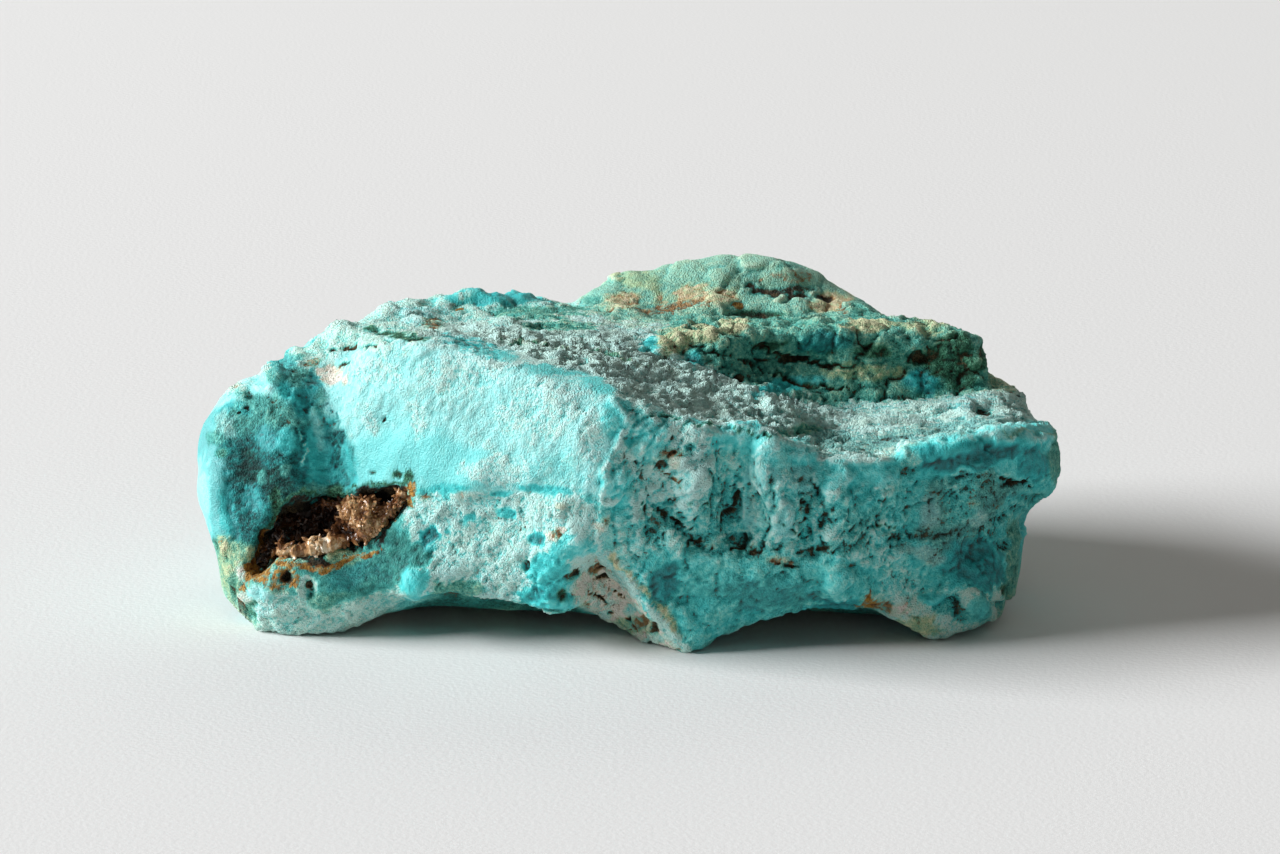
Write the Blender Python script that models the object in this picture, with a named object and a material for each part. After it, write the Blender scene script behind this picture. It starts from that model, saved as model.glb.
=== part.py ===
"""A raw turquoise nugget: one rough stone, and the rusty druse that lines its pocket.

Frame: metres, +Z up. The stone rests on z = 0, its long way runs along X, and its
broad broken face looks towards -Y. The origin is under the middle of its box.
"""

import bmesh
import bpy
import numpy as np
from mathutils import Matrix, Vector, noise

# ---------------------------------------------------------------- driving sizes
MM = 0.001
STONE_LENGTH = 50.0 * MM  # the rails' length; chipping leaves the stone a little inside it
UNIT = STONE_LENGTH / 50.0  # every rail, stroke and radius below is in these units

RING_COUNT = 150  # sections along the stone
STEPS_BETWEEN_RAILS = 8  # points from one rail to the next, round a section
EDGE_CRISPNESS = 0.75  # 0 rounds the stone over its rails, 1 breaks it into flat faces
SKIN_VOXEL = 0.55 * UNIT  # size of the even skin that the strokes are pressed into
RIM_VOXEL = 0.4 * UNIT  # size of the skin once the pocket is cut, fine enough for its rim
STONE_TRIANGLES = 8300
CRUST_TRIANGLES = 1300

CRUST_GAP = 0.35 * UNIT  # clear space between the druse and the pocket's wall
CRUST_SETBACK = 0.25 * UNIT  # how far the druse stays under the stone's skin
CRUST_VOXEL = 0.24 * UNIT

# ---------------------------------------------------------------- the stone's rails
# Each rail is a line that runs along the stone from its left end to its right end,
# as (x, y, z). Together, in this order, they go once round the stone.
RAILS = {
    "front_foot": [
        (-21.6, -8.0, 0.7), (-20.5, -9.4, -0.4), (-18.2, -9.9, -0.4), (-16.4, -9.9, 0.3), (-14, -10.2, 1.4),
        (-12, -10.4, 2.1), (-10.5, -10.6, 2.5), (-9, -11, 2.5), (-7, -11.6, 2.1), (-5.8, -11.8, 2.6),
        (-4, -12.2, 2.1), (-3.0, -12.0, 2.0), (-2.4, -10.9, 1.7), (-1.6, -10.4, 0.9), (0.2, -10.6, -0.3),
        (1.4, -11.9, -0.4), (3.4, -12.7, -0.5), (5.2, -12.5, 0.6), (7.3, -12.4, 1.2), (9.5, -12.2, 1.6),
        (11.8, -11.9, 1.6), (13.8, -11.4, 1.9), (14.3, -11.3, 1.3), (15.0, -11.3, 0.5), (15.9, -11.3, 0.6),
        (17.0, -11, -0.3), (18.6, -10.5, 0.0), (20.6, -8.4, 0.6),
    ],
    "front_low": [
        (-23.4, -5.5, 2.6), (-22, -8.8, 2.5), (-19, -10.7, 2.9), (-15, -10.6, 3.4), (-11.5, -11.2, 4.2),
        (-8, -11.9, 4.3), (-4.5, -12.9, 4.3), (-2.9, -12.9, 4.4), (-2.1, -11.5, 4.2), (-0.8, -11.5, 4.1),
        (0.1, -13.4, 4.2), (3, -13.2, 3.6), (8, -13, 4), (13.5, -12.2, 4), (18, -11.3, 3.2),
        (20.5, -9.3, 2.8), (22, -6.3, 2.5),
    ],
    "front_belly": [
        (-24.6, -4.5, 5.4), (-22.8, -7.9, 5.8), (-19.5, -9.4, 6), (-16, -9.5, 6.2), (-12, -10.3, 6.5),
        (-8, -11.8, 6.6), (-3, -13.6, 6.6), (1, -13.8, 6.2), (6, -13.4, 6), (12, -12.9, 6), (17, -11.6, 5.8),
        (20.5, -9.3, 5.6), (22.3, -6, 5.4),
    ],
    "front_high": [
        (-24.9, -4, 8.8), (-23, -6.9, 9), (-20.3, -8.1, 9.3), (-17.2, -7.6, 9.5), (-15.2, -8.3, 9.8),
        (-11, -10.4, 10.3), (-6, -12.6, 10.6), (-1.6, -14.2, 10), (3, -13.9, 9.3), (8, -13.4, 8.8),
        (13, -12.7, 8.4), (18, -11.6, 8.4), (22, -9.2, 8.2), (24.6, -5.8, 8),
    ],
    "front_brow": [
        (-24.3, -3.8, 11.3), (-22.2, -5.2, 12.6), (-19.6, -5, 14.2), (-17, -5.8, 14.2), (-15.7, -6.5, 15.5),
        (-13.4, -7.6, 16.6), (-10.5, -9.5, 16.8), (-8.3, -10.5, 16.7), (-5.5, -12, 16.0), (-2.2, -13.4, 15.3),
        (1.2, -13.7, 14.3), (4, -13.5, 13.3), (7.2, -13.1, 12.9), (9, -12.8, 12.1), (11, -12.5, 11.1),
        (14, -12.1, 10.9), (17.8, -11.1, 11.2), (20.7, -9.7, 11.5), (23.1, -7.6, 10.8), (24.5, -5, 9.9),
    ],
    "shelf": [
        (-23.6, -1.5, 12), (-19.5, -2, 14.1), (-16.5, -2.8, 14.9), (-13, -3, 16.1), (-8.5, -5, 16.3),
        (-4, -7, 15.9), (-0.5, -8, 15.2), (4, -8.2, 13.6), (7.3, -8.2, 12.7), (11.3, -7.5, 11.2),
        (15.3, -7, 11.4), (18, -6, 11.6), (21, -4.5, 11.8), (24, -2.5, 10.5),
    ],
    "ledge_foot": [
        (-23.2, 0, 12), (-19, -0.5, 14), (-14, -0.8, 15.8), (-8, -1, 16), (-4, -1.2, 15.7),
        (-0.5, -1.8, 15.3), (3.4, -2.8, 14.2), (6.3, -3, 13.2), (9.7, -2.6, 11.8), (12.6, -2, 11.6),
        (15.5, -1.5, 11.7), (18.4, -0.5, 11.8), (20.8, 1, 11.8), (23.3, 0.8, 11),
    ],
    "ledge_brow": [
        (-22.8, 1.3, 11.8), (-18.5, 0.8, 14.1), (-13.5, 0.8, 15.7), (-7, 0.5, 16), (-3.4, 0, 15.9),
        (-0.5, -0.3, 15.8), (3, -1.6, 15.6), (6.3, -1.4, 15.6), (9.8, -0.8, 15.6), (12.7, -0.2, 15.4),
        (15.5, 0.5, 15.2), (18.4, 1.4, 15.1), (19.5, 1.8, 14.6), (20.1, 2.0, 13.6), (20.4, 2.2, 11.7),
        (22.7, 3, 11.0),
    ],
    "terrace": [
        (-22.3, 2.5, 11.3), (-18, 2.5, 14.2), (-13, 3, 15.5), (-7.5, 3.3, 15.5), (-2, 4, 15.2), (4, 4.5, 15),
        (10, 5, 14.9), (13.5, 5.6, 14.8), (16.8, 4.6, 14.7), (19.4, 4.0, 14.4), (20.2, 4.2, 13.0),
        (20.6, 4.3, 11.4), (22.3, 4.4, 10.5),
    ],
    "crest": [
        (-22, 3.8, 10.6), (-17.5, 4.5, 14), (-13.3, 5.5, 15.4), (-9.8, 6.5, 15.7), (-5, 7.3, 15.5),
        (-3.3, 8.2, 15.1), (-2.7, 8.8, 15.4), (-2.0, 9.4, 16.1), (-1.1, 9.7, 16.4), (0.6, 10, 16.7),
        (2.4, 10.2, 17.1), (4.1, 10.3, 17.5), (5.6, 10.3, 17.8), (8.3, 10.3, 17.5), (10, 10.3, 17.4),
        (11.2, 10.1, 17.1), (12.7, 9.9, 15.8), (14.2, 9.4, 14.8), (15.1, 8.8, 13.9), (18.5, 7.5, 12.8),
        (21.3, 6.3, 10),
    ],
    "back_brow": [
        (-21.7, 5.3, 8.6), (-17.5, 7.5, 11.8), (-13, 9, 13), (-8, 10.2, 13.3), (-3, 12, 13.4), (2, 13.8, 14),
        (7, 14.2, 14.2), (11, 13.6, 13), (15, 12, 10.8), (18.5, 9.8, 9.6), (21, 7.6, 7.5),
    ],
    "back_belly": [
        (-21.6, 5.8, 5.4), (-17.5, 8.8, 6.5), (-12, 10.8, 7), (-6, 12.4, 7.4), (0, 14.6, 7.6), (6, 15.9, 7.8),
        (11, 15, 7), (16, 12.6, 6), (20.6, 8.2, 4.8),
    ],
    "back_foot": [
        (-21.2, 4.4, 2), (-17.5, 7, 1.6), (-12, 9, 1), (-7, 10.5, 0.3), (-2, 11.8, -0.4), (3, 12.8, -0.1),
        (8, 12.8, -0.4), (12, 12, 0.6), (16, 10.5, 1.6), (20, 6.8, 2.2),
    ],
    "under_back": [
        (-21, 1, 1.4), (-16, 3, 1.7), (-10, 4.5, 1.9), (-3, 5.5, 1.3), (5, 6, 1.2), (12, 5, 1.8),
        (20, 2, 1.6),
    ],
    "under_front": [
        (-21, -3.5, 0.9), (-17, -4, 1.4), (-12, -5, 2.6), (-6, -6, 2.8), (0, -6.5, 1.8), (5, -7, 1.4),
        (10, -7, 2.2), (14, -6.5, 2.2), (17.5, -5.5, 1.2), (20.3, -3.5, 1.2),
    ],
}
LEFT_TIP = (-24.4, -0.6, 6.8)
RIGHT_TIP = (23.6, 0.4, 7.4)

# ---------------------------------------------------------------- lumps, grooves and steps
# Each stroke moves the skin near a line by a push, as (name, from, to, reach, push).
STROKES = [
    ("left_lobe", (-23.2, -7.4, 4.5), (-23.3, -6.6, 11), 1.6, (-0.3, -0.5, 0.0)),
    ("left_lobe_top", (-23.4, -4.8, 12.0), (-22.0, -4.6, 12.6), 1.2, (-0.2, -0.2, 0.5)),
    ("left_undercut", (-24.2, -7.6, 1.3), (-24.0, -1.0, 1.5), 1.2, (1.5, 0.3, 0.2)),
    ("left_step", (-21.2, -3.4, 13.2), (-19.8, -1.4, 13.8), 0.9, (0.1, 0.3, -0.4)),
    ("lobe_dip", (-21.4, -8, 10.8), (-21.2, -8.6, 8.2), 1.1, (0.1, 0.7, 0.0)),
    ("second_lobe", (-19.3, -6.2, 13.4), (-19.6, -8.2, 9.6), 1.3, (-0.1, -0.6, 0.1)),
    ("side_groove", (-17.2, -6.6, 14.2), (-17.1, -8.4, 8.4), 1.1, (0.1, 0.6, -0.1)),
    ("matrix_notch", (-17.6, -4.2, 14.6), (-16.4, -4.8, 14.8), 1.2, (0.0, 0.5, -0.8)),
    ("pale_lump", (-16.6, 1.0, 14.6), (-14.6, 0.8, 15.4), 1.6, (0.0, -0.1, 0.5)),
    ("blue_knob", (-11.4, -11.4, 3.6), (-11.3, -11.2, 3.0), 1.3, (0.0, -0.9, -0.2)),
    ("blue_tongue", (-3.3, -13.3, 6.4), (-4, -12.6, 2.8), 1.7, (-0.1, -0.7, 0.0)),
    ("matrix_recess", (-1.9, -12.2, 4.6), (-0.6, -11.4, 2.0), 1.2, (0.0, 0.9, 0.0)),
    ("foot_ridge", (-0.6, -13.8, 5.2), (3.2, -12.8, 1.0), 0.8, (0.1, -0.7, 0.0)),
    ("face_ridge", (-1.6, -14.0, 14.4), (-1.6, -14.2, 8.0), 1.8, (0.0, -0.4, 0.0)),
    ("upper_lump", (3.9, -13.8, 10.2), (3.7, -13.9, 8.2), 1.5, (0.0, -0.5, 0.0)),
    ("lump_groove", (2.2, -13.8, 9.2), (2.8, -13.8, 7.0), 0.9, (0.0, 0.6, 0.0)),
    ("mid_groove", (6.2, -13.4, 11.6), (5.9, -13.5, 7.6), 0.9, (0.0, 0.6, 0.0)),
    ("rib_a", (8.0, -13.4, 11.6), (8.2, -13.4, 6.8), 1.0, (0.0, -0.5, 0.0)),
    ("rib_groove", (9.7, -13, 10.6), (9.5, -13.2, 6.4), 0.8, (0.0, 0.5, 0.0)),
    ("rib_b", (11.0, -12.9, 9.4), (11.6, -12.9, 4.6), 1.2, (0.0, -0.4, 0.0)),
    ("pit_row", (3.6, -13.6, 7.0), (15.8, -12.0, 7.2), 0.8, (0.0, 0.5, 0.0)),
    ("low_panel", (6.0, -13.1, 4.2), (12.0, -12.6, 4.2), 1.6, (0.0, -0.3, 0.0)),
    ("right_hollow", (15.6, -12.2, 9.6), (17.4, -11.6, 7.6), 1.8, (0.0, 0.5, 0.0)),
    ("end_crack", (20.4, -9.6, 9.0), (23.0, -7.6, 7.8), 0.6, (-0.3, 0.7, 0.0)),
    ("end_under", (20.8, -9.0, 6.6), (23.0, -6.4, 6.0), 1.3, (-0.5, 0.7, 0.3)),
    ("end_knuckle", (21.4, -7.6, 4.4), (21.2, -6.8, 2.4), 1.2, (0.1, -0.3, 0.0)),
    ("foot_gully", (19.2, -10.2, 4.8), (16.0, -11.6, 3.8), 1.1, (0.0, 0.8, 0.2)),
    ("foot_knob", (19.4, -9.8, 2.2), (19.4, -9.6, 1.5), 1.3, (0.3, -0.7, 0.0)),
    ("foot_swell", (16.6, -11.2, 1.8), (15.4, -11.4, 1.6), 1.1, (0.0, -0.5, 0.0)),
    ("shelf_trough", (4.4, -10.2, 13.2), (13.6, -9.2, 10.9), 1.8, (0.0, 0.0, -0.7)),
    ("shelf_lip", (7.0, -12.9, 12.7), (12.6, -12.2, 11.0), 0.8, (0.0, -0.2, 0.3)),
    ("end_lip", (13.6, -12.0, 11.0), (20.2, -9.8, 11.5), 0.8, (0.0, -0.2, 0.4)),
    ("brow_lip", (-13.6, -7.6, 16.6), (-5.4, -12.0, 16.0), 0.9, (0.0, -0.3, 0.25)),
    ("shelf_step", (0.6, -5.4, 15.0), (9.6, -5.2, 12.4), 0.8, (0.0, 0.0, 0.45)),
    ("shelf_rib", (8.6, -6.4, 12.4), (18.6, -4.4, 11.8), 0.9, (0.0, 0.0, 0.4)),
    ("shelf_pit", (20.2, -3.4, 11.8), (20.9, -3.0, 11.8), 0.7, (0.0, 0.0, -0.7)),
    ("ledge_root", (5.0, -2.8, 13.2), (18.4, -0.6, 12.2), 1.0, (0.0, 0.8, -0.2)),
    ("ledge_slot", (7.0, -1.9, 14.2), (11.0, -1.4, 13.7), 0.8, (0.0, 1.6, 0.0)),
    ("ledge_lip", (3.4, -1.8, 15.4), (18.6, 1.2, 14.8), 0.7, (0.0, -0.4, 0.25)),
    ("ledge_cave", (16.2, 0.2, 13.8), (17.2, 0.6, 13.6), 0.7, (0.0, 1.0, 0.0)),
    ("ledge_block", (16.4, -0.8, 12.6), (17.4, -0.6, 12.6), 0.8, (0.0, -0.7, 0.0)),
    ("ledge_end", (19.0, 1.4, 14.6), (19.4, 1.2, 12.8), 1.0, (0.1, -0.5, 0.2)),
    ("hump_crack", (7.0, 7.6, 16.0), (11.8, 8.0, 15.9), 0.9, (0.0, 0.9, -0.6)),
    ("hump_dome", (8.0, 8.6, 16.8), (9.4, 8.6, 16.8), 1.4, (0.0, -0.5, 0.3)),
    ("hump_gap", (-3.6, 6.8, 16.0), (-2.8, 9.4, 16.0), 1.2, (0.0, 0.0, -0.5)),
    ("hump_hollow", (-0.6, 6.4, 15.6), (3.0, 6.8, 15.8), 1.3, (0.0, 0.5, -0.4)),
    ("left_gully", (-13.8, 1.6, 15.8), (-8.6, 2.0, 16.0), 1.0, (0.0, 0.0, -0.5)),
    ("left_crest_lump", (-9.6, 5.6, 16.0), (-6.0, 6.2, 16.0), 1.3, (0.0, 0.0, 0.3)),
    ("back_groove", (-9.6, 10.6, 12.6), (-6.4, 12.0, 4.0), 1.6, (0.2, -1.0, 0.0)),
    ("back_rib", (1.6, 15.0, 11.6), (2.6, 14.9, 4.6), 1.5, (0.0, 0.6, 0.0)),
    ("back_scar", (9.4, 14.8, 10.4), (13.6, 13.6, 5.8), 1.5, (-0.2, -0.9, 0.0)),
    ("back_left_lump", (-15.6, 9.2, 8.0), (-13.8, 10.0, 5.6), 1.6, (-0.1, 0.6, 0.0)),
    ("belly_arch", (-11.0, -9.6, 1.6), (-8.4, 2.0, 1.8), 2.0, (0.0, 0.0, 0.5)),
    ("right_arch", (9.6, -10.6, 1.4), (10.6, 0.0, 1.6), 2.0, (0.0, 0.0, 0.4)),
]

# ---------------------------------------------------------------- grain of the broken skin
# Relief of three sizes, as (size of a form, height): rolling swells, flat tilted chips, grit.
SWELL = (6.5 * UNIT, 0.35 * UNIT)
CHIP = (3.2 * UNIT, 0.55 * UNIT)
GRIT = (1.4 * UNIT, 0.12 * UNIT)
CHIP_SEAM = 0.16  # how wide the worn seam between two chips is, as a share of a chip
SEAM_DEPTH = 0.22  # how far a seam lies below its chips, as a share of the chips' height
CELL_SPREAD = 31.0  # sets neighbouring chips' tilts apart
NOISE_SEED = Vector((3.1, 7.7, 1.9))
# How fast each finer octave of the relief fades, how much finer it is, and how many there are.
OCTAVE_FADE = 0.9
OCTAVE_STEP = 2.1
OCTAVES = 3

# ---------------------------------------------------------------- the pocket and its druse
# The pocket is cut by balls along a slanting line, as (centre, radii).
POCKET_BALLS = [
    ((-21.0, -9.0, 3.9), (0.75, 1.1, 0.8)),
    ((-20.3, -8.7, 4.9), (0.9, 1.5, 0.9)),
    ((-18.6, -8.6, 5.9), (1.6, 2.3, 1.5)),
    ((-17.0, -8.5, 6.3), (1.7, 2.5, 1.5)),
    ((-15.5, -8.7, 6.4), (1.5, 2.0, 1.3)),
    ((-14.2, -9.0, 7.2), (1.3, 1.6, 1.1)),
    ((-13.0, -9.5, 7.9), (0.9, 1.2, 0.7)),
]
BALL_SUBDIVISIONS = 4
POCKET_VOXEL = 0.3 * UNIT
POCKET_ROUGHNESS = (1.3 * UNIT, 0.16 * UNIT)
# The open room left in front of the druse, cut by balls as well.
ROOM_BALLS = [
    ((-21.1, -9.9, 4.0), (0.45, 1.1, 0.55)),
    ((-20.2, -9.5, 5.0), (0.55, 1.3, 0.6)),
    ((-18.4, -9.4, 6.4), (1.3, 2.0, 1.0)),
    ((-17.2, -9.8, 6.7), (1.3, 2.2, 0.9)),
    ((-15.6, -10.4, 6.6), (1.0, 1.5, 0.7)),
    ((-14.4, -10.6, 7.4), (0.9, 1.4, 0.6)),
    ((-13.1, -10.6, 8.0), (0.6, 1.2, 0.4)),
]

# Colour (linear red, green, blue, alpha) and roughness.
TURQUOISE = ((0.14, 0.53, 0.50, 1.0), 0.55)
DRUSE_BROWN = ((0.11, 0.05, 0.02, 1.0), 0.40)


# ---------------------------------------------------------------- small tools
def material(name, colour_and_roughness):
    """A Principled BSDF with one colour and roughness."""
    colour, roughness = colour_and_roughness
    made = bpy.data.materials.new(name)
    made.use_nodes = True
    shader = made.node_tree.nodes["Principled BSDF"]
    shader.inputs["Base Color"].default_value = colour
    shader.inputs["Roughness"].default_value = roughness
    shader.inputs["Metallic"].default_value = 0.0
    made.diffuse_color = colour
    return made


def object_from(name, points, faces):
    """A new mesh object in the scene."""
    mesh = bpy.data.meshes.new(name)
    mesh.from_pydata([tuple(p) for p in points], [], faces)
    mesh.validate()
    made = bpy.data.objects.new(name, mesh)
    bpy.context.scene.collection.objects.link(made)
    return made


def settle(obj):
    """Applies an object's modifiers, so that its mesh is what they make."""
    graph = bpy.context.evaluated_depsgraph_get()
    finished = bpy.data.meshes.new_from_object(obj.evaluated_get(graph))
    obj.modifiers.clear()
    obj.data = finished


def points_of(obj):
    """The object's vertices as an array."""
    flat = np.empty(len(obj.data.vertices) * 3)
    obj.data.vertices.foreach_get("co", flat)
    return flat.reshape(-1, 3)


def set_points(obj, points):
    """Moves the object's vertices to these places."""
    obj.data.vertices.foreach_set("co", points.ravel())
    obj.data.update()


def normals_of(obj):
    """The object's vertex normals as an array."""
    flat = np.empty(len(obj.data.vertices) * 3)
    obj.data.vertices.foreach_get("normal", flat)
    return flat.reshape(-1, 3)


def skin(obj, voxel):
    """Gives the object one even, closed skin."""
    remesh = obj.modifiers.new("skin", "REMESH")
    remesh.mode = "VOXEL"
    remesh.voxel_size = voxel
    settle(obj)


def cut_down(obj, triangles):
    """Brings the mesh down to about this many triangles, keeping its form."""
    triangulate = obj.modifiers.new("triangles", "TRIANGULATE")
    triangulate.min_vertices = 4
    settle(obj)
    decimate = obj.modifiers.new("fewer", "DECIMATE")
    decimate.ratio = min(1.0, triangles / len(obj.data.polygons))
    settle(obj)


def boolean(obj, other, operation):
    """Joins, cuts or intersects with another object, exactly."""
    change = obj.modifiers.new(operation.lower(), "BOOLEAN")
    change.operation = operation
    change.object = other
    settle(obj)


def largest_piece(obj):
    """Keeps the largest connected piece of the mesh, and drops the crumbs."""
    body = bmesh.new()
    body.from_mesh(obj.data)
    left, pieces = set(body.verts), []
    while left:
        piece, edge = set(), {left.pop()}
        while edge:
            vertex = edge.pop()
            piece.add(vertex)
            edge |= {e.other_vert(vertex) for e in vertex.link_edges} - piece
        left -= piece
        pieces.append(piece)
    keep = max(pieces, key=len)
    crumbs = [v for v in body.verts if v not in keep]
    bmesh.ops.delete(body, geom=crumbs, context="VERTS")
    body.to_mesh(obj.data)
    body.free()


# ---------------------------------------------------------------- the stone's form
def even_slopes(rail):
    """A slope at each point that never makes the curve swing past its points."""
    width = np.diff(rail[:, 0])[:, None]
    rise = np.diff(rail[:, 1:], axis=0) / width
    before, after = rise[:-1], rise[1:]
    weight_before, weight_after = 2 * width[1:] + width[:-1], width[1:] + 2 * width[:-1]
    turns = before * after <= 0
    safe_before, safe_after = np.where(turns, 1.0, before), np.where(turns, 1.0, after)
    mean = (weight_before + weight_after) / (weight_before / safe_before + weight_after / safe_after)
    return np.concatenate([rise[:1], np.where(turns, 0.0, mean), rise[-1:]])


def rail_points(rail, count):
    """The rail read at even steps of x, on a smooth curve through its own points."""
    rail = np.array(rail, float)
    along = np.linspace(rail[0, 0], rail[-1, 0], count)
    slopes = even_slopes(rail)
    before = np.clip(np.searchsorted(rail[:, 0], along, side="right") - 1, 0, len(rail) - 2)
    width = rail[before + 1, 0] - rail[before, 0]
    t = ((along - rail[before, 0]) / width)[:, None]
    start, end = rail[before, 1:], rail[before + 1, 1:]
    start_slope, end_slope = slopes[before] * width[:, None], slopes[before + 1] * width[:, None]
    curve = (
        (2 * t**3 - 3 * t**2 + 1) * start
        + (t**3 - 2 * t**2 + t) * start_slope
        + (3 * t**2 - 2 * t**3) * end
        + (t**3 - t**2) * end_slope
    )
    return np.column_stack([along, curve])


def ring_through(corners, steps):
    """A closed ring through the corners: between a smooth curve and flat faces with crisp edges."""
    before, after = np.roll(corners, 1, axis=0), np.roll(corners, -1, axis=0)
    beyond = np.roll(corners, -2, axis=0)
    ring = []
    for step in range(steps):
        t = step / steps
        smooth = 0.5 * (
            2 * corners
            + (after - before) * t
            + (2 * before - 5 * corners + 4 * after - beyond) * t**2
            + (3 * corners - before - 3 * after + beyond) * t**3
        )
        flat = corners + (after - corners) * t
        ring.append(smooth + (flat - smooth) * EDGE_CRISPNESS)
    return np.stack(ring, axis=1).reshape(-1, 3)


def lofted_stone():
    """The stone's main form: rings lofted through the rails and closed at both ends."""
    rails = np.stack([rail_points(rail, RING_COUNT) for rail in RAILS.values()])
    rings = [ring_through(rails[:, i], STEPS_BETWEEN_RAILS) for i in range(RING_COUNT)]
    around = len(rings[0])
    points = np.concatenate([*rings, [LEFT_TIP, RIGHT_TIP]]) * UNIT
    left_tip, right_tip = len(points) - 2, len(points) - 1
    faces = []
    for i in range(RING_COUNT - 1):
        for j in range(around):
            k = (j + 1) % around
            faces.append((i * around + j, (i + 1) * around + j, (i + 1) * around + k, i * around + k))
    last = (RING_COUNT - 1) * around
    for j in range(around):
        k = (j + 1) % around
        faces.append((j, k, left_tip))
        faces.append((last + k, last + j, right_tip))
    stone = object_from("turquoise_stone", points, faces)
    skin(stone, SKIN_VOXEL)
    return stone


def press_strokes(stone):
    """Pushes the skin near each stroke's line, fading out over the stroke's reach."""
    points = points_of(stone)
    for _name, start, end, reach, push in STROKES:
        start, end, push = np.array(start) * UNIT, np.array(end) * UNIT, np.array(push) * UNIT
        line = end - start
        share = np.clip((points - start) @ line / (line @ line), 0, 1)
        nearest = start + share[:, None] * line
        distance = np.linalg.norm(points - nearest, axis=1) / (reach * UNIT)
        weight = np.exp(-(distance**2))
        points += weight[:, None] * push
    set_points(stone, points)


def relief(point, size):
    """Fractal noise between about -1 and 1, for a form of this size."""
    return noise.fractal(Vector(point) / size + NOISE_SEED, OCTAVE_FADE, OCTAVE_STEP, OCTAVES)


def chipped(point, size):
    """Flat facets, each tilted its own way, with worn seams between them."""
    place = Vector(point) / size + NOISE_SEED
    distances, centres = noise.voronoi(place)
    tilt = noise.cell_vector(centres[0] * CELL_SPREAD)
    seam = min(1.0, (distances[1] - distances[0]) / CHIP_SEAM)
    return (place - centres[0]).dot(tilt) * seam - (1 - seam) * SEAM_DEPTH


def roughen(stone):
    """Gives the skin its swells, chips and grit."""
    points, normals = points_of(stone), normals_of(stone)
    height = np.array(
        [
            relief(p, SWELL[0]) * SWELL[1] + chipped(p, CHIP[0]) * CHIP[1] + relief(p, GRIT[0]) * GRIT[1]
            for p in points
        ]
    )
    set_points(stone, points + normals * height[:, None])


def plane_off_feet(stone):
    """Wears flat the feet that reach below z = 0, where the stone stands."""
    body = bmesh.new()
    place = Matrix.Translation((0, 0, -STONE_LENGTH)) @ Matrix.Scale(2 * STONE_LENGTH, 4)
    bmesh.ops.create_cube(body, size=1, matrix=place)
    mesh = bpy.data.meshes.new("ground")
    body.to_mesh(mesh)
    body.free()
    ground = bpy.data.objects.new("ground", mesh)
    bpy.context.scene.collection.objects.link(ground)
    boolean(stone, ground, "DIFFERENCE")
    bpy.data.objects.remove(ground)
    body = bmesh.new()
    body.from_mesh(stone.data)
    bmesh.ops.triangulate(body, faces=body.faces)
    body.to_mesh(stone.data)
    body.free()


# ---------------------------------------------------------------- the pocket
def blended_balls(name, balls, roughness):
    """One lumpy solid out of overlapping balls."""
    body = bmesh.new()
    for centre, radii in balls:
        place = Matrix.Translation(Vector(centre) * UNIT) @ Matrix.Diagonal((*(Vector(radii) * UNIT), 1))
        bmesh.ops.create_icosphere(body, subdivisions=BALL_SUBDIVISIONS, radius=1, matrix=place)
    mesh = bpy.data.meshes.new(name)
    body.to_mesh(mesh)
    body.free()
    made = bpy.data.objects.new(name, mesh)
    bpy.context.scene.collection.objects.link(made)
    skin(made, POCKET_VOXEL)
    size, height = roughness
    points, normals = points_of(made), normals_of(made)
    rough = np.array([relief(p, size) for p in points]) * height
    set_points(made, points + normals * rough[:, None])
    skin(made, POCKET_VOXEL)
    return made


def shrunken(obj, name, inset, voxel):
    """A copy of a solid with its skin moved inwards."""
    made = obj.copy()
    made.data = obj.data.copy()
    made.name = name
    bpy.context.scene.collection.objects.link(made)
    set_points(made, points_of(made) - normals_of(made) * inset)
    skin(made, voxel)
    return made


def rusty_druse(pocket, whole_stone):
    """The crust of crystals on the pocket's wall, just inside the cut."""
    crust = shrunken(pocket, "rusty_druse", CRUST_GAP, POCKET_VOXEL)
    inner_stone = shrunken(whole_stone, "inner_stone", CRUST_SETBACK, SKIN_VOXEL)
    room = blended_balls("room", ROOM_BALLS, POCKET_ROUGHNESS)
    boolean(crust, inner_stone, "INTERSECT")
    boolean(crust, room, "DIFFERENCE")
    skin(crust, CRUST_VOXEL)
    largest_piece(crust)
    cut_down(crust, CRUST_TRIANGLES)
    for helper in (inner_stone, room):
        bpy.data.objects.remove(helper)
    return crust


# ---------------------------------------------------------------- the build
def clear_scene():
    """Removes whatever the scene holds."""
    for obj in list(bpy.data.objects):
        bpy.data.objects.remove(obj)


def centre_on_origin(pieces):
    """Moves the pieces so that the box's middle is over the origin and its bottom at z = 0."""
    points = np.concatenate([points_of(piece) for piece in pieces])
    low, high = points.min(axis=0), points.max(axis=0)
    shift = np.array([(low[0] + high[0]) / 2, (low[1] + high[1]) / 2, low[2]])
    for piece in pieces:
        set_points(piece, points_of(piece) - shift)


def main():
    clear_scene()
    stone = lofted_stone()
    press_strokes(stone)
    skin(stone, SKIN_VOXEL)
    roughen(stone)
    pocket = blended_balls("pocket", POCKET_BALLS, POCKET_ROUGHNESS)
    crust = rusty_druse(pocket, stone)
    boolean(stone, pocket, "DIFFERENCE")
    skin(stone, RIM_VOXEL)
    largest_piece(stone)
    bpy.data.objects.remove(pocket)
    cut_down(stone, STONE_TRIANGLES)
    plane_off_feet(stone)
    centre_on_origin([stone, crust])
    stone.data.materials.clear()
    stone.data.materials.append(material("turquoise", TURQUOISE))
    crust.data.materials.clear()
    crust.data.materials.append(material("rusty_druse", DRUSE_BROWN))


main()
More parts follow.
